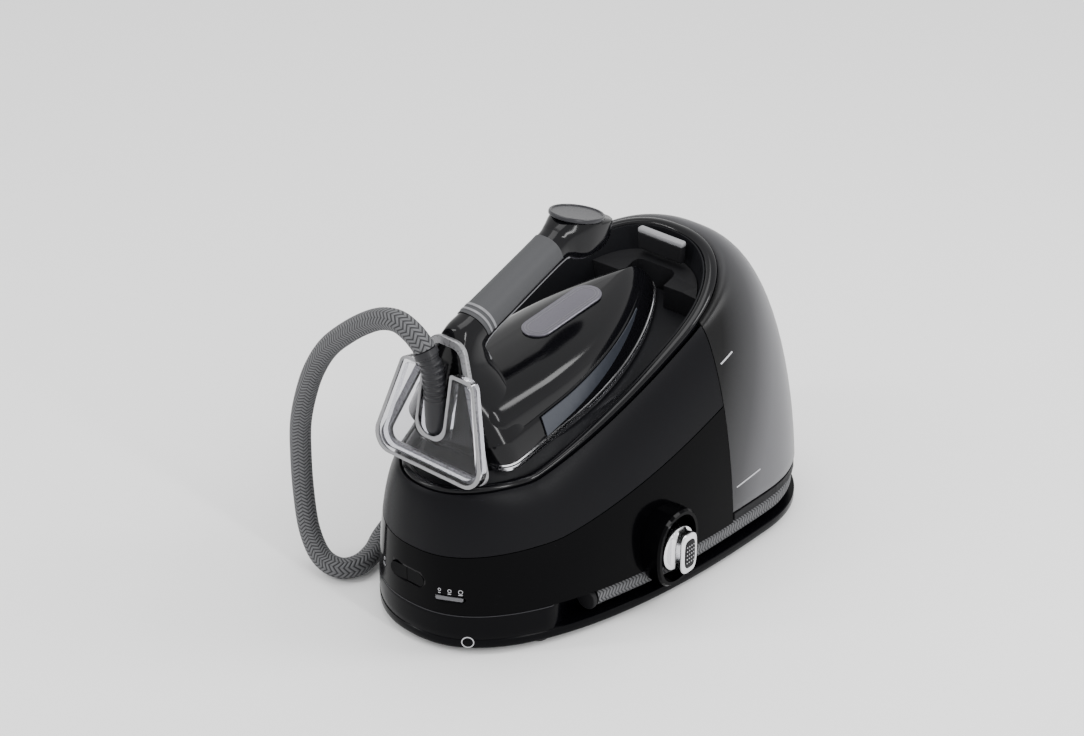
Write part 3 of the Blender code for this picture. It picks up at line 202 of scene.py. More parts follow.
def paint_light_on_smoke(made, stops):
    """Painted light: the smoke's colour grows lighter towards the back and the bottom of the tank, in object
    space, standing in for the light and reflection that fall there.
    """
    shader = made.node_tree.nodes["Principled BSDF"]
    place = add(made, "ShaderNodeTexCoord")
    along = add(made, "ShaderNodeVectorMath", operation="DOT_PRODUCT")
    along.inputs[1].default_value = (0.0, 6.15, -2.37)
    shift = add(made, "ShaderNodeMath", operation="ADD")
    shift.inputs[1].default_value = 0.26
    ramp = add(made, "ShaderNodeValToRGB")
    points = ramp.color_ramp.elements
    while len(points) < len(stops):
        points.new(0.5)
    for point, (position, level) in zip(points, stops):
        point.position, point.color = position, (level, level, level * 1.06, 1)
    link(made, place.outputs["Object"], along.inputs[0])
    link(made, along.outputs["Value"], shift.inputs[0])
    link(made, shift.outputs["Value"], ramp.inputs["Fac"])
    link(made, ramp.outputs["Color"], shader.inputs["Base Color"])
    return made


# painted light: the tank's smoked colour is lightened towards the back and the bottom, where light and
# reflections fall
paint_light_on_smoke(SMOKED, ((0.20, 0.006), (0.46, 0.055), (0.66, 0.130), (1.0, 0.185)))


def braid_material():
    """Herringbone braid: strips that lean one way and the other.

    It is worked out from the tube's own u, once round, and v, the distance along in metres.
    """
    made = new_material("hose_braid", (0.1, 0.1, 0.1), 0.6, specular=0.3)
    shader = made.node_tree.nodes["Principled BSDF"]
    place = add(made, "ShaderNodeUVMap", uv_map="UVMap")
    parts = add(made, "ShaderNodeSeparateXYZ")
    link(made, place.outputs["UV"], parts.inputs["Vector"])

    def math(operation, a, b=None, c=None):
        node = add(made, "ShaderNodeMath", operation=operation)
        for socket, value in zip(node.inputs, (a, b, c)):
            if value is None:
                continue
            if isinstance(value, (int, float)):
                socket.default_value = value
            else:
                link(made, value, socket)
        return node.outputs[0]

    columns = math("MULTIPLY", parts.outputs["X"], 12.0)
    zigzag = math("PINGPONG", columns, 1.0)
    rows = math("MULTIPLY", parts.outputs["Y"], 1 / 0.0034)
    slanted = math("ADD", rows, zigzag)
    strip = math("FRACT", slanted)
    hump = math("SINE", math("MULTIPLY", strip, pi))
    edge = math("ABSOLUTE", math("SUBTRACT", zigzag, 0.5))
    valley = math("SMOOTH_MIN", hump, math("MULTIPLY", math("SUBTRACT", 0.56, edge), 8.0), 0.3)
    ramp = add(made, "ShaderNodeValToRGB")
    ramp.color_ramp.elements[0].color = (0.012, 0.012, 0.014, 1)
    ramp.color_ramp.elements[0].position = 0.25
    ramp.color_ramp.elements[1].color = (0.105, 0.106, 0.111, 1)
    ramp.color_ramp.elements[1].position = 0.85
    link(made, valley, ramp.inputs["Fac"])
    link(made, ramp.outputs["Color"], shader.inputs["Base Color"])
    bump = add(made, "ShaderNodeBump")
    bump.inputs["Strength"].default_value = 0.9
    bump.inputs["Distance"].default_value = 0.0006
    link(made, valley, bump.inputs["Height"])
    link(made, bump.outputs["Normal"], shader.inputs["Normal"])
    return made


BRAID = braid_material()

SLOT_LOOK = {
    "gloss_black": GLOSS_BLACK, "matte_black": MATTE_BLACK, "dark_satin": INNER_BLACK, "grip_grey": GRIP_GREY,
    "satin_grey": PALE_GREY, "silver_lilac": LILAC_SILVER, "black_rubber": RUBBER, "braided_hose": BRAID,
    "smoked_clear": SMOKED, "clear_grey": LENS, "satin_chrome": CHROME, "sole_steel": SOLE_STEEL,
    "spring_steel": STEEL, "aluminium": ALUMINIUM, "brass": BRASS, "white_nylon": NYLON, "board_green": BOARD,
    "silicone": SILICONE,
}
for part in frame["record"]["subparts"]:
    node = frame["nodes"][part["node"]]
    node.data.materials.clear()
    accent = part["node"].startswith("accent")
    node.data.materials.append(BAND_GREY if accent else SLOT_LOOK[part["material_slot"]])


# ---- mesh helpers -------------------------------------------------------------------------------
def finish_mesh(name, bm, look, place=STATION, sharp=35, body="station", slot=None, node=()):
    bmesh.ops.recalc_face_normals(bm, faces=bm.faces)
    mesh = bpy.data.meshes.new(name)
    bm.to_mesh(mesh)
    bm.free()
    mesh.transform(place)
    mesh.shade_smooth()
    mesh.set_sharp_from_angle(angle=radians(sharp))
    mesh.materials.append(look)
    piece = bpy.data.objects.new(name, mesh)
    bpy.context.scene.collection.objects.link(piece)
    if body:
        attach(piece, body)
    if node:
        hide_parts(*node)
    return piece


def loft(name, rings, look, around=False, **more):
    """A closed solid through rings of equal length: capped at both ends, or closed on itself if around."""
    bm = bmesh.new()
    rows = [[bm.verts.new(point) for point in ring] for ring in rings]
    count = len(rings[0])
    pairs = list(zip(rows, rows[1:])) + ([(rows[-1], rows[0])] if around else [])
    for low, high in pairs:
        for i in range(count):
            j = (i + 1) % count
            bm.faces.new((low[i], low[j], high[j], high[i]))
    if not around:
        bm.faces.new(rows[0])
        bm.faces.new(rows[-1])
    return finish_mesh(name, bm, look, **more)


def slab(name, outer, inner, look, **more):
    """A curved plate between two equal grids of points, closed round its four edges."""
    bm = bmesh.new()
    grids = [[[bm.verts.new(p) for p in row] for row in grid] for grid in (outer, inner)]
    rows, columns = len(outer), len(outer[0])
    for grid in grids:
        for i in range(rows - 1):
            for j in range(columns - 1):
                bm.faces.new((grid[i][j], grid[i][j + 1], grid[i + 1][j + 1], grid[i + 1][j]))
    a, b = grids
    for i in range(rows - 1):
        for j in (0, columns - 1):
            bm.faces.new((a[i][j], a[i + 1][j], b[i + 1][j], b[i][j]))
    for j in range(columns - 1):
        for i in (0, rows - 1):
            bm.faces.new((a[i][j], a[i][j + 1], b[i][j + 1], b[i][j]))
    return finish_mesh(name, bm, look, **more)


def modify(piece, kind, **values):
    change = piece.modifiers.new(kind.lower(), kind)
    for key, value in values.items():
        setattr(change, key, value)
    return piece


def bevelled(piece, width, segments=2, angle=35):
    return modify(piece, "BEVEL", width=width, segments=segments, limit_method="ANGLE",
                  angle_limit=radians(angle),
                  harden_normals=False)


def apply(piece):
    """Bakes a piece's modifiers into its mesh."""
    graph = bpy.context.evaluated_depsgraph_get()
    mesh = bpy.data.meshes.new_from_object(piece.evaluated_get(graph))
    piece.modifiers.clear()
    piece.data = mesh
    return piece


def carve(piece, *cutters, operation="DIFFERENCE"):
    for cutter in cutters:
        change = modify(piece, "BOOLEAN", operation=operation, object=cutter, solver="EXACT").modifiers[-1]
        change.name = "carve"
    apply(piece)
    for cutter in cutters:
        bpy.data.objects.remove(cutter)
    return piece


def rounded_box(name, size, centre, look, bevel, segments=4, turn=Matrix.Identity(4), **more):
    bm = bmesh.new()
    stretch = Matrix.Diagonal((*size, 1.0))
    bmesh.ops.create_cube(bm, size=1.0, matrix=Matrix.Translation(centre) @ turn @ stretch)
    piece = finish_mesh(name, bm, look, **more)
    return apply(bevelled(piece, bevel, segments)) if bevel else piece


def turned(name, profile, look, place, sides=64, **more):
    """A turned solid about local Z from (radius, height) pairs that start and end on the axis."""
    bm = bmesh.new()
    low, high = bm.verts.new((0, 0, profile[0][1])), bm.verts.new((0, 0, profile[-1][1]))
    rows = [[bm.verts.new((r * cos(2 * pi * i / sides), r * sin(2 * pi * i / sides), z))
             for i in range(sides)]
            for r, z in profile[1:-1]]
    for i in range(sides):
        j = (i + 1) % sides
        bm.faces.new((low, rows[0][i], rows[0][j]))
        bm.faces.new((high, rows[-1][j], rows[-1][i]))
        for a, b in zip(rows, rows[1:]):
            bm.faces.new((a[i], a[j], b[j], b[i]))
    return finish_mesh(name, bm, look, place=place, **more)


# ---- the station's outer surface, as in the CAD ---------------------------------------------------
def egg(angle, half, widest, front, back, inset=0.0):
    power = 2 / OUTLINE_POWER
    c, s = cos(angle), sin(angle)
    reach = (back - widest if s > 0 else widest - front) - inset
    return ((half - inset) * (abs(c) ** power) * (1 if c > 0 else -1),
            widest + reach * (abs(s) ** power) * (1 if s > 0 else -1))


def rim_z(y):
    """The rim's height: level at the front, then a slope, with the corner between them rounded."""
    level, slope = RIM_FRONT_Z, RIM_Z_AT_FRONT_EDGE + RIM_SLOPE * (y - RIM_SLOPE_START)
    blend = 0.0015
    return (level + slope + sqrt((level - slope) ** 2 + blend ** 2)) / 2


def body_point(angle, height, inset=0.0):
    bottom = egg(angle, **FLOOR_EGG, inset=inset)
    top = egg(angle, **RIM_EGG, inset=inset)
    s = sin(angle)
    end_power = WALL_POWER_BACK if s > 0 else WALL_POWER_FRONT
    power = WALL_POWER_SIDE + (end_power - WALL_POWER_SIDE) * s * s
    lean = 1 - max(0.0, 1 - height ** power) ** (1 / power)
    x = bottom[0] + (top[0] - bottom[0]) * lean
    y = bottom[1] + (top[1] - bottom[1]) * lean
    rim = rim_z(egg(angle, **RIM_EGG)[1]) - inset * height ** 6
    return Vector((x, y, SHELL_BOTTOM + (rim - SHELL_BOTTOM) * height))


def height_at(angle, z):
    return (z - SHELL_BOTTOM) / (rim_z(egg(angle, **RIM_EGG)[1]) - SHELL_BOTTOM)


def shell_seam(y):
    return min(0.74, max(0.60, 0.616 + 0.42 * (y + 0.207)))


def spread_angles(start, end, count):
    """Angles from start to end, evenly spaced."""
    return [start + (end - start) * i / (count - 1) for i in range(count)]


def front_angles(height_of, limit, inset, count):
    low, high = -pi / 2, pi / 2
    for _ in range(40):
        middle = (low + high) / 2
        if body_point(middle, height_of(middle), inset)[1] < limit:
            low = middle
        else:
            high = middle
    return spread_angles(low, -pi - low, count)


def front_row(height_of, inset=0.0, limit=SEAM_Y, count=161):
    return [body_point(a, height_of(a), inset) for a in front_angles(height_of, limit, inset, count)]


def back_row(height_of, inset=0.0, limit=SEAM_Y, count=121, closing=12):
    start = front_angles(height_of, limit, inset, 2)[0]
    ring = [body_point(a, height_of(a), inset) for a in spread_angles(start, pi - start, count)]
    first, last = ring[0], ring[-1]
    return ring + [last.lerp(first, (i + 1) / (closing + 1)) for i in range(closing)]


def ring(make, count=192):
    return [make(2 * pi * (i + 0.5) / count) for i in range(count)]


def level_ring(z, inset=0.0):
    return ring(lambda a: Vector((*egg(a, **FLOOR_EGG, inset=inset), z)))


def rim_ring(inset, lift=0.0):
    def point(a):
        y_edge = egg(a, **RIM_EGG)[1]
        return Vector((*egg(a, **RIM_EGG, inset=inset), rim_z(y_edge) + lift))
    return ring(point)


def groove_inset(angle):
    y = egg(angle, **FLOOR_EGG)[1]
    t = min(1.0, max(0.0, (y - GROOVE_START) / GROOVE_RUN_IN))
    return GROOVE_DEPTH * t * t * (3 - 2 * t)


def pan_ring(z, inset=0.0):
    def point(a):
        height = height_at(a, z)
        skin = body_point(a, height, inset)
        back = body_point(a, height, inset + groove_inset(a))
        return Vector((back[0], back[1], z)) if z > PAN_FLANGE_TOP else Vector((skin[0], skin[1], z))
    return ring(point)


def at_level(z):
    return lambda a: height_at(a, z)


def seam_height(shift):
    return lambda a: shell_seam(body_point(a, 0.65)[1]) + shift


def shell_rows(low, high, steps, inset):
    rows = []
    for i in range(steps + 1):
        t = i / steps
        rows.append(front_row(lambda a, t=t: low(a) + (high(a) - low(a)) * t, inset, SEAM_Y - GAP))
    return rows


def pill_cutter(name, width, height, centre, depth, turn=24):
    r = height / 2
    outline = [Vector((width / 2 - r + r * sin(pi * i / turn), 0, r * cos(pi * i / turn)))
               for i in range(turn + 1)]
    outline += [Vector((-p.x, 0, -p.z)) for p in outline]
    rows = [[p + Vector(centre) + Vector((0, dy, 0)) for p in outline] for dy in (-depth / 2, depth / 2)]
    return loft(name, rows, INNER_BLACK, body=None)


# ---- station ------------------------------------------------------------------------------------
lower = slab("lower_shell_skin", shell_rows(at_level(PAN_TOP + GAP), seam_height(-0.0015), 16, 0.0),
             shell_rows(at_level(PAN_TOP + GAP), seam_height(-0.0015), 16, WALL), GLOSS_BLACK,
             slot="gloss_black", node=("lower_shell",))
LIGHT_X, LIGHT_Z, LIGHT_SIZE = -0.0370, 0.0530, (0.0060, 0.0030)
BAR_X, BAR_Z, BAR_SIZE = 0.0350, 0.0520, (0.0230, 0.0036)
knob_hole = turned("knob_hole", [(0, 0), (0.0135, 0), (0.0135, 0.04), (0, 0.04)], INNER_BLACK,
                   STATION @ Matrix.Translation((0.095, KNOB_Y, KNOB_Z)) @ Matrix.Rotation(pi / 2, 4, "Y"),
                   body=None)
carve(lower, pill_cutter("a", *PILL_SIZE, (PILL_X, -0.204, PANEL_Z), 0.03),
      pill_cutter("b", *LIGHT_SIZE, (LIGHT_X, -0.198, LIGHT_Z), 0.03),
      pill_cutter("c", *BAR_SIZE, (BAR_X, -0.198, BAR_Z), 0.03), knob_hole)

def just_under_rim(_):
    return 0.996


upper = slab("upper_shell_skin", shell_rows(seam_height(0.0015), just_under_rim, 28, 0.0),
             shell_rows(seam_height(0.0015), just_under_rim, 28, WALL), MATTE_BLACK, slot="matte_black",
             node=("upper_shell",))
bevelled(upper, 0.0005, 2, 50)

loft("base_pan_skin", [level_ring(0.0045, 0.004), level_ring(0.0050, 0.0022), pan_ring(0.0062, 0.0006),
                             pan_ring(0.0075), pan_ring(0.0110), pan_ring(PAN_FLANGE_TOP - 0.0006),
                             pan_ring(PAN_FLANGE_TOP, 0.0006), pan_ring(PAN_FLANGE_TOP + 0.0006, 0.0004),
                             pan_ring(0.020), pan_ring(0.027), pan_ring(0.033), pan_ring(PAN_TOP - 0.0008),
                             pan_ring(PAN_TOP - 0.0002, 0.0004), pan_ring(PAN_TOP, 0.0010),
                       pan_ring(PAN_TOP, WALL),
                             pan_ring(0.0165, WALL), level_ring(0.0080, GROOVE_DEPTH + WALL)], PAN_BLACK,
           slot="gloss_black", node=("base_pan",))

# painted highlight: a thin ring of lighter grey along the base pan's top edge, standing in for the light
# caught by the seam
loft("painted_seam_highlight", [pan_ring(PAN_TOP - 0.0008, -0.0002), pan_ring(PAN_TOP - 0.0002, -0.0002),
                   pan_ring(PAN_TOP - 0.0002, 0.0010), pan_ring(PAN_TOP - 0.0008, 0.0010)], CAP_GREY,
     around=True)

rim_profile = [(GAP, -0.0040), (GAP, -0.0010), (0.0004, 0.0005), (0.0010, 0.0015),
               (0.0022, 0.0022), (0.0040, 0.0026), (0.0060, 0.0026), (0.0078, 0.0020),
               (RIM_WIDTH - 0.001, 0.0010), (RIM_WIDTH - 0.0003, 0.0), (RIM_WIDTH, -0.0015),
               (RIM_WIDTH, -0.0040)]
loft("rim_bead", [rim_ring(inset, lift) for inset, lift in rim_profile], IRON_BLACK, around=True,
     slot="gloss_black", node=("rim_trim",))


def sole_z(y):
    return NOSE.z + 0.2 * (y - NOSE.y)


TRAY_SIDE, TRAY_FLOOR_INSET = RIM_WIDTH + GAP, 0.0190


def tray_ring(inset, from_rim=None, from_sole=None, mix=0.0):
    def point(a):
        x, y = egg(a, **RIM_EGG, inset=inset)
        top = rim_z(egg(a, **RIM_EGG)[1]) - 0.0006
        if from_rim is not None:
            return Vector((x, y, top + 0.0006 + from_rim))
        low = sole_z(y) + from_sole
        return Vector((x, y, low + (top - low) * mix))
    return ring(point)


def tray_level(t):
    """A ring of the tray's inner wall: t is 0 at the floor's edge and 1 at the rim."""
    inset = TRAY_FLOOR_INSET + (TRAY_SIDE + 0.0012 - TRAY_FLOOR_INSET) * t
    return tray_ring(inset, from_sole=-0.0010, mix=t)


inner_wall = [tray_level(t) for t in (0.75, 0.5, 0.25, 0.08, 0.0)]
loft("tray_liner", [tray_ring(TRAY_FLOOR_INSET + 0.001, from_sole=-0.0035),
                    tray_ring(TRAY_SIDE + 0.0008, from_rim=-0.0075),
                    tray_ring(TRAY_SIDE, from_rim=-0.0065), tray_ring(TRAY_SIDE, from_rim=-0.0006),
                    tray_ring(TRAY_SIDE + 0.0012, from_rim=-0.0006)] + inner_wall,
     TRAY_BLACK, slot="dark_satin", node=("iron_tray",))

# water tank: two walls of smoked plastic with the tray's room cut out
TANK_BOTTOM = 0.0460
TANK_LEVELS = [0.0, 0.004, 0.012, 0.06, 0.14, 0.22, 0.3, 0.38, 0.46, 0.54, 0.61, 0.68,
               0.74, 0.79, 0.84, 0.88, 0.915, 0.94, 0.96, 0.975, 0.988, 1.0]


def tank_block(name, inset, limit, look, **more):
    rows = []
    for step in TANK_LEVELS:
        round_in = 0.0012 * max(0.0, 1 - step / 0.012) ** 2 if not inset else 0.0
        rows.append(back_row(lambda a: height_at(a, TANK_BOTTOM + inset) * (1 - step) + step,
                             inset + round_in, limit))
    return loft(name, rows, look, **more)


def rest_space(name, grow, drop):
    low = [Vector((p.x, p.y, sole_z(p.y) - drop)) for p in rim_ring(-grow)]
    high = [Vector((p.x, p.y, 0.34)) for p in rim_ring(-grow)]
    return loft(name, [low, high], INNER_BLACK, body=None)


tank = tank_block("tank_skin", 0.0, SEAM_Y + GAP, SMOKED, body="tank", slot="smoked_clear",
                  node=("water_tank",))
cavity = tank_block("tank_cavity", WALL, SEAM_Y + GAP + WALL, INNER_BLACK, body=None)
carve(cavity, rest_space("r2", GAP + WALL, 0.0045 + WALL))


def flap_patch(inset, grow=0.0, steps=(10, 28)):
    """A patch of the tank's back, as rows of points, grown a little past its outline where asked."""
    low, high = FLAP_HEIGHTS[0] - grow * 4, FLAP_HEIGHTS[1] + grow * 4
    turn = FLAP_HALF_TURN + grow * 9
    return [[body_point(pi / 2 - turn + 2 * turn * i / steps[1], low + (high - low) * k / steps[0], inset)
             for i in range(steps[1] + 1)] for k in range(steps[0] + 1)]


carve(tank, rest_space("r1", GAP, 0.0045), cavity,
      slab("filler_hole", flap_patch(-0.004, GAP), flap_patch(WALL + 0.003, GAP), INNER_BLACK, body=None))
slab("flap_skin", flap_patch(0.0), flap_patch(FLAP_THICKNESS), SMOKED, body="flap", slot="smoked_clear",
     node=("filler_flap",))


def water_mark(name, height, length):
    """A thin raised line on the tank's side, level with a water height."""
    start = front_angles(lambda a: height, SEAM_Y + 0.006, 0.0, 2)[0]
    grids = [[[body_point(start + length * i / 12, height + 0.006 * k / 2, inset) for i in range(13)]
              for k in range(3)] for inset in (-0.00025, 0.00005)]
    slab(name, *grids, PRINT, body="tank")


water_mark("upper_level_line", 0.870, 0.10)
water_mark("lower_level_line", 0.330, 0.08)

# lock lever: a pale cap on a dark tongue
LEVER_CAP, LEVER_TONGUE = 0.0052, 0.0160
cap_z = LEVER_FOOT_Z + LEVER_SIZE[2] - LEVER_CAP / 2
rounded_box("lever_cap", (*LEVER_SIZE[:2], LEVER_CAP), (0, LEVER_Y, cap_z), PALE_GREY, 0.0020, body="lever",
            slot="satin_grey", node=("lock_lever",))
rounded_box("lever_front", (LEVER_SIZE[0] - 0.0010, LEVER_SIZE[1] - 0.0004, LEVER_TONGUE),
            (0, LEVER_Y, LEVER_FOOT_Z + 0.0001 + LEVER_TONGUE / 2), INNER_BLACK, 0.0016, body="lever")

# ---- iron ---------------------------------------------------------------------------------------
def sole_half_width(back):
    t = min(1.0, back / SOLE_WIDEST)
    return SOLE_HALF_WIDTH * (1 - (1 - t) ** 2) ** 0.833 - max(0.0, back - SOLE_WIDEST) * 0.05


SIDE_POINTS, CORNER = 48, 0.016


def sole_outline(z, narrow=0.0, nose_back=0.0, heel_forward=0.0, width_scale=1.0):
    length = SOLE_LENGTH - nose_back - heel_forward
    right = [Vector((0, -nose_back, z))]
    for i in range(1, SIDE_POINTS + 1):
        back = (length - CORNER) * (1 - cos(pi / 2 * i / SIDE_POINTS)) ** 1.1
        x = sole_half_width(back) * (1 - narrow / SOLE_HALF_WIDTH) * width_scale
        right.append(Vector((x, -nose_back - back, z)))
    edge = right[-1]
    turn_in = min(CORNER, 0.7 * edge.x)
    for i in range(1, 9):
        a = pi / 2 * i / 8
        right.append(Vector((edge.x - turn_in * (1 - cos(a)), edge.y - CORNER * sin(a), z)))
    return right + [Vector((-p.x, p.y, p.z)) for p in reversed(right[1:])]


on_iron = dict(place=IRON, body="iron")
loft("sole_skin", [sole_outline(0.0006, 0.0012, 0.002, 0.001), sole_outline(0.0009, 0.0006, 0.0012, 0.0006),
                   sole_outline(0.0018), sole_outline(SOLE_THICKNESS)], SOLE_STEEL, slot="sole_steel",
     node=("soleplate",), **on_iron)
SKIRT_TOP, SKIRT_WALL = 0.0290, 0.0025
skirt_outer = [sole_outline(SOLE_THICKNESS + GAP, 0.0010, 0.001), sole_outline(0.0095, 0.0013, 0.0022),
               sole_outline(0.014, 0.0020, 0.004), sole_outline(0.0190, 0.0030, 0.0062),
               sole_outline(0.0240, 0.0044, 0.0096), sole_outline(0.0280, 0.0056, 0.0122),
               sole_outline(SKIRT_TOP, 0.0064, 0.0136)]
skirt_inner = [sole_outline(SKIRT_TOP, 0.0060 + SKIRT_WALL, 0.013 + 0.008, SKIRT_WALL),
               sole_outline(0.014, 0.0020 + SKIRT_WALL, 0.004 + 0.008, SKIRT_WALL),
               sole_outline(SOLE_THICKNESS + GAP, 0.0010 + SKIRT_WALL, 0.001 + 0.008, SKIRT_WALL)]
loft("skirt_skin", skirt_outer + skirt_inner, IRON_BLACK, around=True, slot="gloss_black",
     node=("iron_skirt",),
     **on_iron)

loft("skirt_line", [sole_outline(0.0062, 0.0003, 0.0004), sole_outline(0.0078, 0.0004, 0.0008),
                    sole_outline(0.0078, 0.0024, 0.0040), sole_outline(0.0062, 0.0020, 0.0030)], CHROME,
     around=True,
     **on_iron)

BODY_TOP, RIDGE_RISE, RIDGE_LEVEL_Y = 0.0470, 0.10, -0.080


def raised(points, low, high):
    def rise(p):
        return RIDGE_RISE * (RIDGE_LEVEL_Y - p.y) * max(0.0, (p.z - low) / (high - low))
    return [p + Vector((0, 0, rise(p))) for p in points]


def eased(values, t):
    """A Catmull-Rom value of a list of tuples at t steps along it."""
    i = min(int(t), len(values) - 2)
    f = t - i
    at = [values[max(0, i - 1)], values[i], values[i + 1], values[min(len(values) - 1, i + 2)]]
    return tuple(0.5 * (2 * b + (c - a) * f + (2 * a - 5 * b + 4 * c - d) * f * f
                        + (3 * b - a - 3 * c + d) * f ** 3)
                 for a, b, c, d in zip(*at))


BODY_RINGS = [(SKIRT_TOP + GAP, 0.0064, 0.0136, 0.000, 1.00), (0.0350, 0.0080, 0.0170, 0.000, 0.99),
              (0.0400, 0.0110, 0.0205, 0.001, 0.95), (0.0435, 0.0150, 0.0250, 0.002, 0.84),
              (0.0460, 0.0180, 0.0320, 0.004, 0.64), (BODY_TOP, 0.0200, 0.0430, 0.008, 0.36)]
body_rows = [eased(BODY_RINGS, i / 4) for i in range(4 * (len(BODY_RINGS) - 1) + 1)]
loft("iron_body_skin", [raised(sole_outline(z, narrow, nose, heel, scale), SKIRT_TOP, BODY_TOP)
                               for z, narrow, nose, heel, scale in body_rows], IRON_BLACK, slot="gloss_black",
            node=("iron_body",), **on_iron)

HANDLE_PATH = [
    (-0.2350, SKIRT_TOP + GAP, 90, 0.0520, 0.0320, 2.4), (-0.2330, 0.0450, 88, 0.0430, 0.0315, 2.4),
    (-0.2320, 0.0620, 84, 0.0310, 0.0300, 2.4), (-0.2300, 0.0790, 70, 0.0210, 0.0265, 2.4),
    (-0.2215, 0.0935, 38, 0.0160, 0.0230, 2.4), (-0.2110, 0.1015, 14, 0.0142, 0.0150, 2.4),
    (-0.1640, 0.1088, 8, 0.0138, 0.0140, 2.4), (-0.1170, 0.1155, 8, 0.0138, 0.0140, 2.4),
    (-0.1060, 0.1168, 2, 0.0150, 0.0158, 2.6), (-0.0965, 0.1165, -8, 0.0185, 0.0195, 3.0),
    (-0.0870, 0.1150, -16, 0.0208, 0.0212, 3.4), (-0.0770, 0.1130, -22, 0.0213, 0.0215, 3.4),
    (-0.0670, 0.1095, -26, 0.0203, 0.0200, 3.2), (-0.0600, 0.1065, -26, 0.0170, 0.0165, 2.8),
    (-0.0560, 0.1045, -26, 0.0110, 0.0110, 2.4)]


def handle_point(spot, angle, grow=0.0):
    y, z, tangent, half_x, half_t, power = spot
    up = Vector((0, -sin(radians(tangent)), cos(radians(tangent))))
    c, s = cos(angle), sin(angle)
    x = (half_x + grow) * abs(c) ** (2 / power) * (1 if c > 0 else -1)
    return Vector((x, y, z)) + up * (half_t + grow) * abs(s) ** (2 / power) * (1 if s > 0 else -1)


def handle_rows(first, last, grow=0.0, per=5, count=72):
    steps = round((last - first) * per)
    return [[handle_point(eased(HANDLE_PATH, first + (last - first) * i / steps), 2 * pi * k / count, grow)
             for k in range(count)] for i in range(steps + 1)]


handle = loft("handle_skin", handle_rows(0, 14), IRON_BLACK, slot="gloss_black", node=("handle_shell",),
              **on_iron)
GRIP_TILT, GRIP_EDGE = radians(8.5), Vector((0, -0.1640, 0.1054))


def under_grip():
    return rounded_box("under_grip", (0.060, 0.160, 0.040), (0, 0, -0.020), INNER_BLACK, 0.0, body=None,
                       place=IRON @ Matrix.Translation(GRIP_EDGE) @ Matrix.Rotation(GRIP_TILT, 4, "X"))


grip = loft("grip_skin", handle_rows(5, 7, grow=0.0008, per=12), GRIP_GREY, slot="grip_grey",
            node=("handle_grip",),
            **on_iron)
carve(grip, under_grip())
for i, start in enumerate((5.10, 5.22)):
    carve(loft("grip_stripe_%d" % (i + 1), handle_rows(start, start + 0.05, grow=0.0012, per=40), EDGE_GREY,
               **on_iron),
          under_grip())
for side, turn in (("left", pi), ("right", 0.0)):
    sweep = -1 if side == "right" else 1
    grids = [[[handle_point(eased(HANDLE_PATH, 3.4 + 4.4 * i / 44), turn + sweep * (0.62 + 0.30 * k / 4),
                            grow)
               for i in range(45)] for k in range(5)] for grow in (0.0005, -0.0006)]
    slab("handle_edge_line_" + side, *grids, EDGE_GREY, **on_iron)

CAP_SPOT, CAP_TILT = Vector((0, -0.0790, 0.1290)), radians(-26)
CAP_HALF, CAP_THICKNESS = (0.0215, 0.0255), 0.0036
cap_frame = IRON @ Matrix.Translation(CAP_SPOT) @ Matrix.Rotation(CAP_TILT, 4, "X")
cap_room = rounded_box("cap_room", (0.080, 0.064, 0.040), (0, 0, 0.020 - CAP_THICKNESS - GAP), INNER_BLACK,
                       0.0,
                       place=cap_frame, body=None)
heel_room = rounded_box("heel_room", (0.200, 0.080, 0.260), (0, ARCH_BACK + GAP - 0.040, 0.050),
                        INNER_BLACK, 0.0, place=HEEL,
                        body=None)
carve(handle, cap_room, heel_room)
turned("head_cap_skin", [(0, -CAP_THICKNESS), (0.960, -CAP_THICKNESS), (0.992, -0.0030), (1.0, -0.0018),
                         (0.988, -0.0006),
                         (0.960, 0.0), (0.905, 0.0), (0.890, -0.0004), (0.880, -0.0009), (0.50, -0.0011),
                         (0, -0.0012)],
       CAP_GREY, cap_frame @ Matrix.Diagonal((*CAP_HALF, 1, 1)), sides=96, body="iron", slot="dark_satin",
       node=("handle_head_cap",))


def pill(length, width, z, turn=20):
    r = width / 2
    half = [Vector((r * cos(pi * i / turn), length / 2 - r + r * sin(pi * i / turn), z))
            for i in range(turn + 1)]
    return half + [Vector((-p.x, -p.y, z)) for p in half]


plate_place = (IRON @ Matrix.Translation((0, -0.1130, BODY_TOP + RIDGE_RISE * 0.033 + 0.0012))
               @ Matrix.Rotation(-atan2(RIDGE_RISE, 1.0), 4, "X"))
loft("plate_skin", [pill(PLATE_LENGTH, PLATE_WIDTH, -0.0007), pill(PLATE_LENGTH, PLATE_WIDTH, 0.0003),
                    pill(PLATE_LENGTH - 0.0008, PLATE_WIDTH - 0.0008, 0.0007)],
     LILAC_SILVER, place=plate_place, body="iron", slot="silver_lilac", node=("body_top_plate",))
for i in range(2):
    inward = 0.0050 * (i + 1)
    length, width = PLATE_LENGTH - inward, PLATE_WIDTH - inward
    loft("plate_line_%d" % (i + 1), [pill(length, width, 0.0004), pill(length, width, 0.0009),
                                     pill(length - 0.0008, width - 0.0008, 0.0009),
                                     pill(length - 0.0008, width - 0.0008, 0.0004)], EDGE_GREY, around=True,
         place=plate_place, body="iron")


# ---- heel: clear stand, silver arch and strain relief -------------------------------------------
def rounded(corners, radii, steps=10):
    """A closed outline of (x, z) corners, each rounded with its radius."""
    out = []
    for i, corner in enumerate(corners):
        here = Vector(corner)
        to_last = (Vector(corners[i - 1]) - here).normalized()
        to_next = (Vector(corners[(i + 1) % len(corners)]) - here).normalized()
        half = to_last.angle(to_next) / 2
        reach = radii[i] * cos(half) / sin(half)
        centre = here + (to_last + to_next).normalized() * (radii[i] / sin(half))
        start, end = here + to_last * reach, here + to_next * reach
        for k in range(steps + 1):
            out.append(centre + (start - centre).lerp(end - centre, k / steps).normalized() * radii[i])
    return [Vector((p.x, 0, p.y)) for p in out]


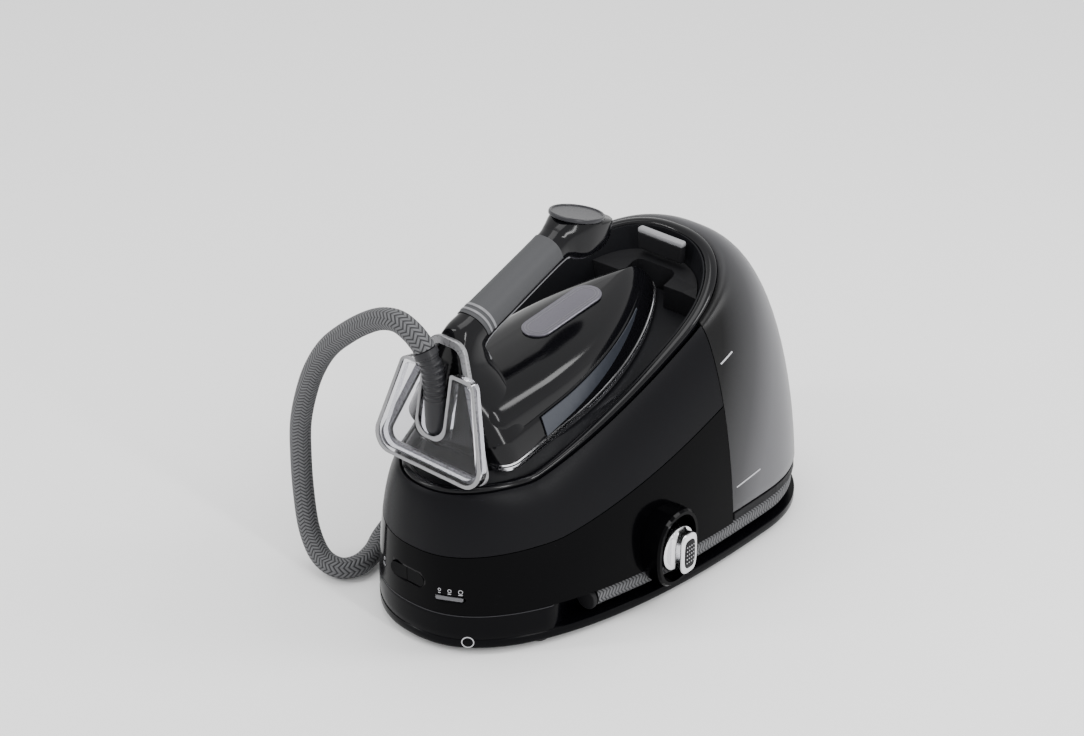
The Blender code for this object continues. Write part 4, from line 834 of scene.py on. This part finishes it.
def heel_outline(shrink, notch, low, radii):
    """The stand's outline, open round the strain relief, with its edges moved inwards by shrink."""
    half, top, high = HEEL_HALF - shrink * 1.6, HEEL_TOP_HALF - shrink * 0.55, HEEL_HEIGHT - shrink
    return rounded([(-half, shrink), (half, shrink), (top, high), (notch, high), (notch, low), (-notch, low),
                    (-notch, high), (-top, high)], radii)


def shifted(points, y):
    return [p + Vector((0, y, 0)) for p in points]


on_heel = dict(place=HEEL, body="iron")
edge_line = heel_outline(0.0, NOTCH_HALF, NOTCH_LOW,
                         [0.016, 0.016, 0.008, 0.002, 0.013, 0.013, 0.002, 0.008])
hollow_line = heel_outline(HEEL_RIM, NOTCH_HALF + 0.004, NOTCH_LOW - 0.006,
                           [0.012, 0.012, 0.005, 0.002, 0.010, 0.010, 0.002, 0.005])
loft("heel_skin", [shifted(edge_line, 0.0012), shifted(edge_line, HEEL_DEPTH),
                   shifted(hollow_line, HEEL_DEPTH),
                   shifted(hollow_line, 0.0030), shifted(hollow_line, 0.0029)], CLEAR_GREY, slot="clear_grey",
     node=("heel_rest",), **on_heel)
rim_line = heel_outline(0.0026, NOTCH_HALF + 0.0023, NOTCH_LOW - 0.0028,
                        [0.014, 0.014, 0.0065, 0.002, 0.0115, 0.0115, 0.002, 0.0065])
loft("heel_rim_bead", [shifted(edge_line, 0.0012), shifted(edge_line, 0.0002), shifted(rim_line, 0.0002),
                       shifted(rim_line, 0.0012)], CLEAR_EDGE, around=True, **on_heel)
arch_outer = rounded([(-0.0600, 0.0020), (0.0600, 0.0020), (0.0160, 0.1100), (-0.0160, 0.1100)],
                     [0.010, 0.010, 0.014, 0.014])
arch_inner = rounded([(-0.0510, 0.0080), (0.0510, 0.0080), (0.0125, 0.1030), (-0.0125, 0.1030)],
                     [0.008, 0.008, 0.011, 0.011])
arch = loft("arch_skin", [shifted(arch_outer, ARCH_FRONT), shifted(arch_outer, ARCH_BACK),
                          shifted(arch_inner, ARCH_BACK), shifted(arch_inner, ARCH_FRONT)], TRIM_GREY,
            around=True, slot="satin_grey",
            node=("heel_trim",), **on_heel)
apply(bevelled(arch, 0.0009, 3))

# ---- hose ---------------------------------------------------------------------------------------
def smooth_path(points, step):
    points = [Vector(p) for p in points]
    ends = [2 * points[0] - points[1]] + points + [2 * points[-1] - points[-2]]
    fine = []
    for a, b, c, d in zip(ends, ends[1:], ends[2:], ends[3:]):
        for i in range(16):
            t = i / 16
            fine.append(0.5 * (2 * b + (c - a) * t + (2 * a - 5 * b + 4 * c - d) * t * t
                               + (3 * b - a - 3 * c + d) * t ** 3))
    fine.append(points[-1])
    total = sum((q - p).length for p, q in zip(fine, fine[1:]))
    count = max(2, round(total / step))
    out, walked, target = [fine[0]], 0.0, total / count
    for p, q in zip(fine, fine[1:]):
        length = (q - p).length
        while walked + length >= target - 1e-9 and len(out) < count:
            out.append(p.lerp(q, (target - walked) / length))
            target += total / count
        walked += length
    return out + [fine[-1]]


RELIEF_PATH = [(0, -0.1750, 0.1790), (0, -0.1757, 0.2000), (0, -0.1765, 0.2250), (-0.0022, -0.1775, 0.2420),
               (-0.0075, -0.1785, 0.2530)]
RELIEF_RADIUS = 0.0086
relief_coarse = smooth_path(RELIEF_PATH, 0.008)
relief_end = Vector(RELIEF_PATH[-1])
hose_start = (relief_end - relief_coarse[-2]).normalized()


def groove_spot(degrees_round):
    x, y = egg(radians(degrees_round), **FLOOR_EGG, inset=0.0118)
    return (x, y, HOSE_GROOVE_Z)


HOSE_ROUTE = [
    tuple(relief_end + hose_start * 0.0040),
    (-0.0185, -0.1795, 0.2640), (-0.0330, -0.1800, 0.2690), (-0.0510, -0.1800, 0.2650),
    (-0.0700, -0.1800, 0.2540), (-0.0905, -0.1800, 0.2380), (-0.1105, -0.1800, 0.2190),
    (-0.1255, -0.1800, 0.1980), (-0.1380, -0.1800, 0.1720), (-0.1490, -0.1800, 0.1350),
    (-0.1515, -0.1800, 0.1000), (-0.1490, -0.1815, 0.0640), (-0.1405, -0.1850, 0.0330),
    (-0.1240, -0.1885, 0.0150), (-0.1060, -0.1860, 0.0100), (-0.0965, -0.1730, 0.0104),
    (-0.0985, -0.1530, 0.0120), (-0.1045, -0.1350, 0.0170), (-0.1050, -0.1170, 0.0242),
    (-0.0985, -0.0950, 0.0270)]
GROOVE_ANGLES = [-154, -166, 180, 166, 152, 138, 124, 110, 96, 84, 70, 56, 42, 28, 14, 0, -14, -24]
GLAND_SPOT = Vector((0.0938, -0.0960, HOSE_GROOVE_Z))
route = HOSE_ROUTE + [groove_spot(a) for a in GROOVE_ANGLES] + [tuple(GLAND_SPOT + Vector((0, 0.0004, 0)))]
hose_points = [relief_end + hose_start * 0.0005] + smooth_path(route, 0.0034)


def swept(name, points, radius_at, look, sides=48, **more):
    """A tube along points, with u once round and v the distance along, in metres."""
    bm = bmesh.new()
    layer = bm.loops.layers.uv.new("UVMap")
    rows, along, walked, side = [], [], 0.0, None
    for i, p in enumerate(points):
        ahead = (points[min(i + 1, len(points) - 1)] - points[max(i - 1, 0)]).normalized()
        side = (Vector((0, 1, 0)) if side is None else side)
        side = (side - ahead * side.dot(ahead)).normalized()
        other = ahead.cross(side)
        if i:
            walked += (p - points[i - 1]).length
        r = radius_at(walked)
        rows.append([bm.verts.new(p + (side * cos(2 * pi * k / sides) + other * sin(2 * pi * k / sides)) * r)
                     for k in range(sides)])
        along.append(walked)
    for i in range(len(points) - 1):
        for k in range(sides):
            j = (k + 1) % sides
            face = bm.faces.new((rows[i][k], rows[i][j], rows[i + 1][j], rows[i + 1][k]))
            for loop, (u, v) in zip(face.loops, ((k, i), (k + 1, i), (k + 1, i + 1), (k, i + 1))):
                loop[layer].uv = (u / sides, along[v])
    bm.faces.new(rows[0])
    bm.faces.new(rows[-1])
    return finish_mesh(name, bm, look, **more), walked


def relief_radius(s):
    """Narrow lower end, ribs on the upper half and a collar on top."""
    foot = 1 - 0.35 * max(0.0, 1 - s / 0.010) ** 2
    rib = 0.0011 * max(0.0, sin(2 * pi * s / 0.0052)) ** 0.6 if 0.034 < s < 0.068 else 0.0
    collar = 0.0014 if s > 0.070 else 0.0
    return RELIEF_RADIUS * foot + rib + collar - (0.0006 if 0.034 < s < 0.068 else 0.0)


swept("relief_skin", smooth_path(RELIEF_PATH, 0.0005), relief_radius, RELIEF_RUBBER, body="iron",
      slot="black_rubber", node=("strain_relief",))

hose, hose_length = swept("braided_hose", hose_points, lambda s: HOSE_RADIUS, BRAID, body=None,
                          slot="braided_hose", node=("steam_hose",))
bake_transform(hose)

# ---- knob with its grip and dotted pad -----------------------------------------------------------
knob_place = STATION @ Matrix.Translation((0, KNOB_Y, KNOB_Z)) @ Matrix.Rotation(pi / 2, 4, "Y")
on_knob = dict(place=knob_place, body="knob")


def soft_square(half_long, half_wide, level, power=3.6, count=72):
    """A ring between an oval and a rectangle, square to the knob's axis."""
    points = []
    for i in range(count):
        c, s = cos(2 * pi * i / count), sin(2 * pi * i / count)
        points.append(Vector((half_long * abs(c) ** (2 / power) * (1 if c > 0 else -1),
                              half_wide * abs(s) ** (2 / power) * (1 if s > 0 else -1), level)))
    return points


turned("knob_disc", [(0, KNOB_BACK_X), (KNOB_RADIUS - 0.0007, KNOB_BACK_X),
                     (KNOB_RADIUS, KNOB_BACK_X + 0.0008),
                     (KNOB_RADIUS, KNOB_STEP_X - 0.0018), (KNOB_RADIUS - 0.0004, KNOB_STEP_X - 0.0008),
                     (KNOB_RADIUS - 0.0015, KNOB_STEP_X - 0.0001), (0.0150, KNOB_STEP_X), (0, KNOB_STEP_X)],
       CHROME, sides=96, slot="satin_chrome",
       node=("descale_knob",), **on_knob)
loft("knob_grip", [soft_square(0.0188, 0.0112, 0.1308), soft_square(0.0182, 0.0098, 0.1322),
                   soft_square(0.0178, 0.0090, 0.1350), soft_square(0.0184, 0.0096, 0.1392),
                   soft_square(0.0185, 0.0098, 0.1408), soft_square(0.0181, 0.0094, 0.1417),
                   soft_square(0.0172, 0.0086, 0.1420)], CHROME, **on_knob)
loft("pad_skin", [soft_square(0.0132, 0.0064, 0.1418), soft_square(0.0132, 0.0064, 0.1424),
                  soft_square(0.0127, 0.0059, 0.1427)], RUBBER, slot="black_rubber",
     node=("descale_knob_pad",),
     **on_knob)
bm = bmesh.new()
for row in range(5):
    for column in range(4):
        spot = ((row - 2) * 0.0038, (column - 1.5) * 0.0028, KNOB_FACE_X + 0.00078)
        bmesh.ops.create_cone(bm, cap_ends=True, segments=16, radius1=0.00062, radius2=0.00050, depth=0.0003,
                              matrix=Matrix.Translation(spot))
finish_mesh("pad_dots", bm, PRINT, **on_knob)


# ---- small marks on the control strip -------------------------------------------------------------
def front_spot(x, z):
    """A frame on the front wall at (x, z): local +Z points out of the wall and local Y up it."""
    low, high = -pi + 0.2, -0.2
    for _ in range(40):
        middle = (low + high) / 2
        if body_point(middle, height_at(middle, z))[0] < x:
            low = middle
        else:
            high = middle
    here = body_point(low, height_at(low, z))
    across = (body_point(low + 0.01, height_at(low + 0.01, z)) - here).normalized()
    upward = (body_point(low, height_at(low, z + 0.002)) - here).normalized()
    out = across.cross(upward).normalized()
    upward = out.cross(across)
    turn = Matrix((across, upward, out)).transposed().to_4x4()
    return STATION @ Matrix.Translation(here) @ turn


MARK_LOW, MARK_HIGH = -0.0002, 0.00015


def circle(radius, level, sides=32):
    return [Vector((radius * cos(2 * pi * i / sides), radius * sin(2 * pi * i / sides), level))
            for i in range(sides)]


def ring_mark(name, x, z, radius, line=0.0004):
    loft(name, [circle(radius, MARK_LOW), circle(radius, MARK_HIGH), circle(radius - line, MARK_HIGH),
                circle(radius - line, MARK_LOW)], PRINT, around=True, place=front_spot(x, z))


def bar_mark(name, x, z, length, width=0.0006):
    rows = [[Vector((p.y, p.x, level)) for p in pill(length, width, 0)] for level in (MARK_LOW, MARK_HIGH)]
    loft(name, rows, PRINT, place=front_spot(x, z))


def lens_skin(name, x, z, size):
    rows = [[Vector((p.y, p.x, level)) for p in pill(size[0] - shrink, size[1] - shrink, 0)]
            for shrink, level in ((0.0, -0.0022), (0.0, 0.0001), (0.0006, 0.0004))]
    loft(name + "_skin", rows, LENS, place=front_spot(x, z), slot="clear_grey", node=(name,))


lens_skin("status_light_lens", LIGHT_X, LIGHT_Z, LIGHT_SIZE)
lens_skin("mode_light_bar", BAR_X, BAR_Z, BAR_SIZE)
ring_mark("base_plug_ring", 0.0480, 0.0120, 0.0052, 0.0008)

for i in range(3):
    ring_mark("setting_mark_%d" % (i + 1), BAR_X + (i - 1) * 0.0078, BAR_Z + 0.0070, 0.0013 + 0.0003 * i)
    bar_mark("setting_line_%d" % (i + 1), BAR_X + (i - 1) * 0.0078, BAR_Z + 0.0042, 0.0022 + 0.0006 * i)
ring_mark("light_mark", LIGHT_X, LIGHT_Z + 0.0052, 0.0014)

# ---- floor, light and camera --------------------------------------------------------------------
bm = bmesh.new()
bmesh.ops.create_grid(bm, x_segments=1, y_segments=1, size=6.0)
floor_mesh = bpy.data.meshes.new("studio_floor")
bm.to_mesh(floor_mesh)
bm.free()
studio_floor = bpy.data.objects.new("studio_floor", floor_mesh)
bpy.context.scene.collection.objects.link(studio_floor)
floor_mesh.materials.append(speckle(new_material("pale_floor", (0.88, 0.88, 0.88), 0.9, specular=0.1), 30,
                                    (0.85, 0.95)))

world = bpy.data.worlds.new("studio")
bpy.context.scene.world = world
world.use_nodes = True
world.node_tree.nodes["Background"].inputs["Color"].default_value = (0.95, 0.95, 0.95, 1)
world.node_tree.nodes["Background"].inputs["Strength"].default_value = 1.45


def soft_light(name, location, target, size, energy):
    lamp = bpy.data.lights.new(name, "AREA")
    lamp.shape, lamp.size, lamp.size_y, lamp.energy = "RECTANGLE", size[0], size[1], energy
    thing = bpy.data.objects.new(name, lamp)
    bpy.context.scene.collection.objects.link(thing)
    thing.location = location
    thing.rotation_euler = (Vector(target) - Vector(location)).to_track_quat("-Z", "Y").to_euler()


soft_light("key_light", (1.1, 0.9, 1.5), (0, 0, 0.12), (0.6, 0.6), 16)
soft_light("top_light", (-0.3, 0.1, 1.8), (0, 0, 0.12), (0.9, 0.9), 10)
soft_light("side_strip", (1.2, -0.3, 0.9), (0, 0, 0.12), (0.12, 1.0), 9)
soft_light("front_strip", (-0.9, -1.2, 1.2), (0, 0, 0.12), (0.12, 1.0), 8)

AZIMUTH, ELEVATION, DISTANCE = radians(41), radians(30), 2.207
camera_data = bpy.data.cameras.new("camera")
camera_data.lens, camera_data.sensor_width = 85.0, 36.0
camera = bpy.data.objects.new("camera", camera_data)
bpy.context.scene.collection.objects.link(camera)
back = Vector((sin(AZIMUTH) * cos(ELEVATION), -cos(AZIMUTH) * cos(ELEVATION), sin(ELEVATION)))
camera.location = Vector((-0.0795, 0.0333, 0.12)) + back * DISTANCE
camera.rotation_euler = (-back).to_track_quat("-Z", "Y").to_euler()
bpy.context.scene.camera = camera
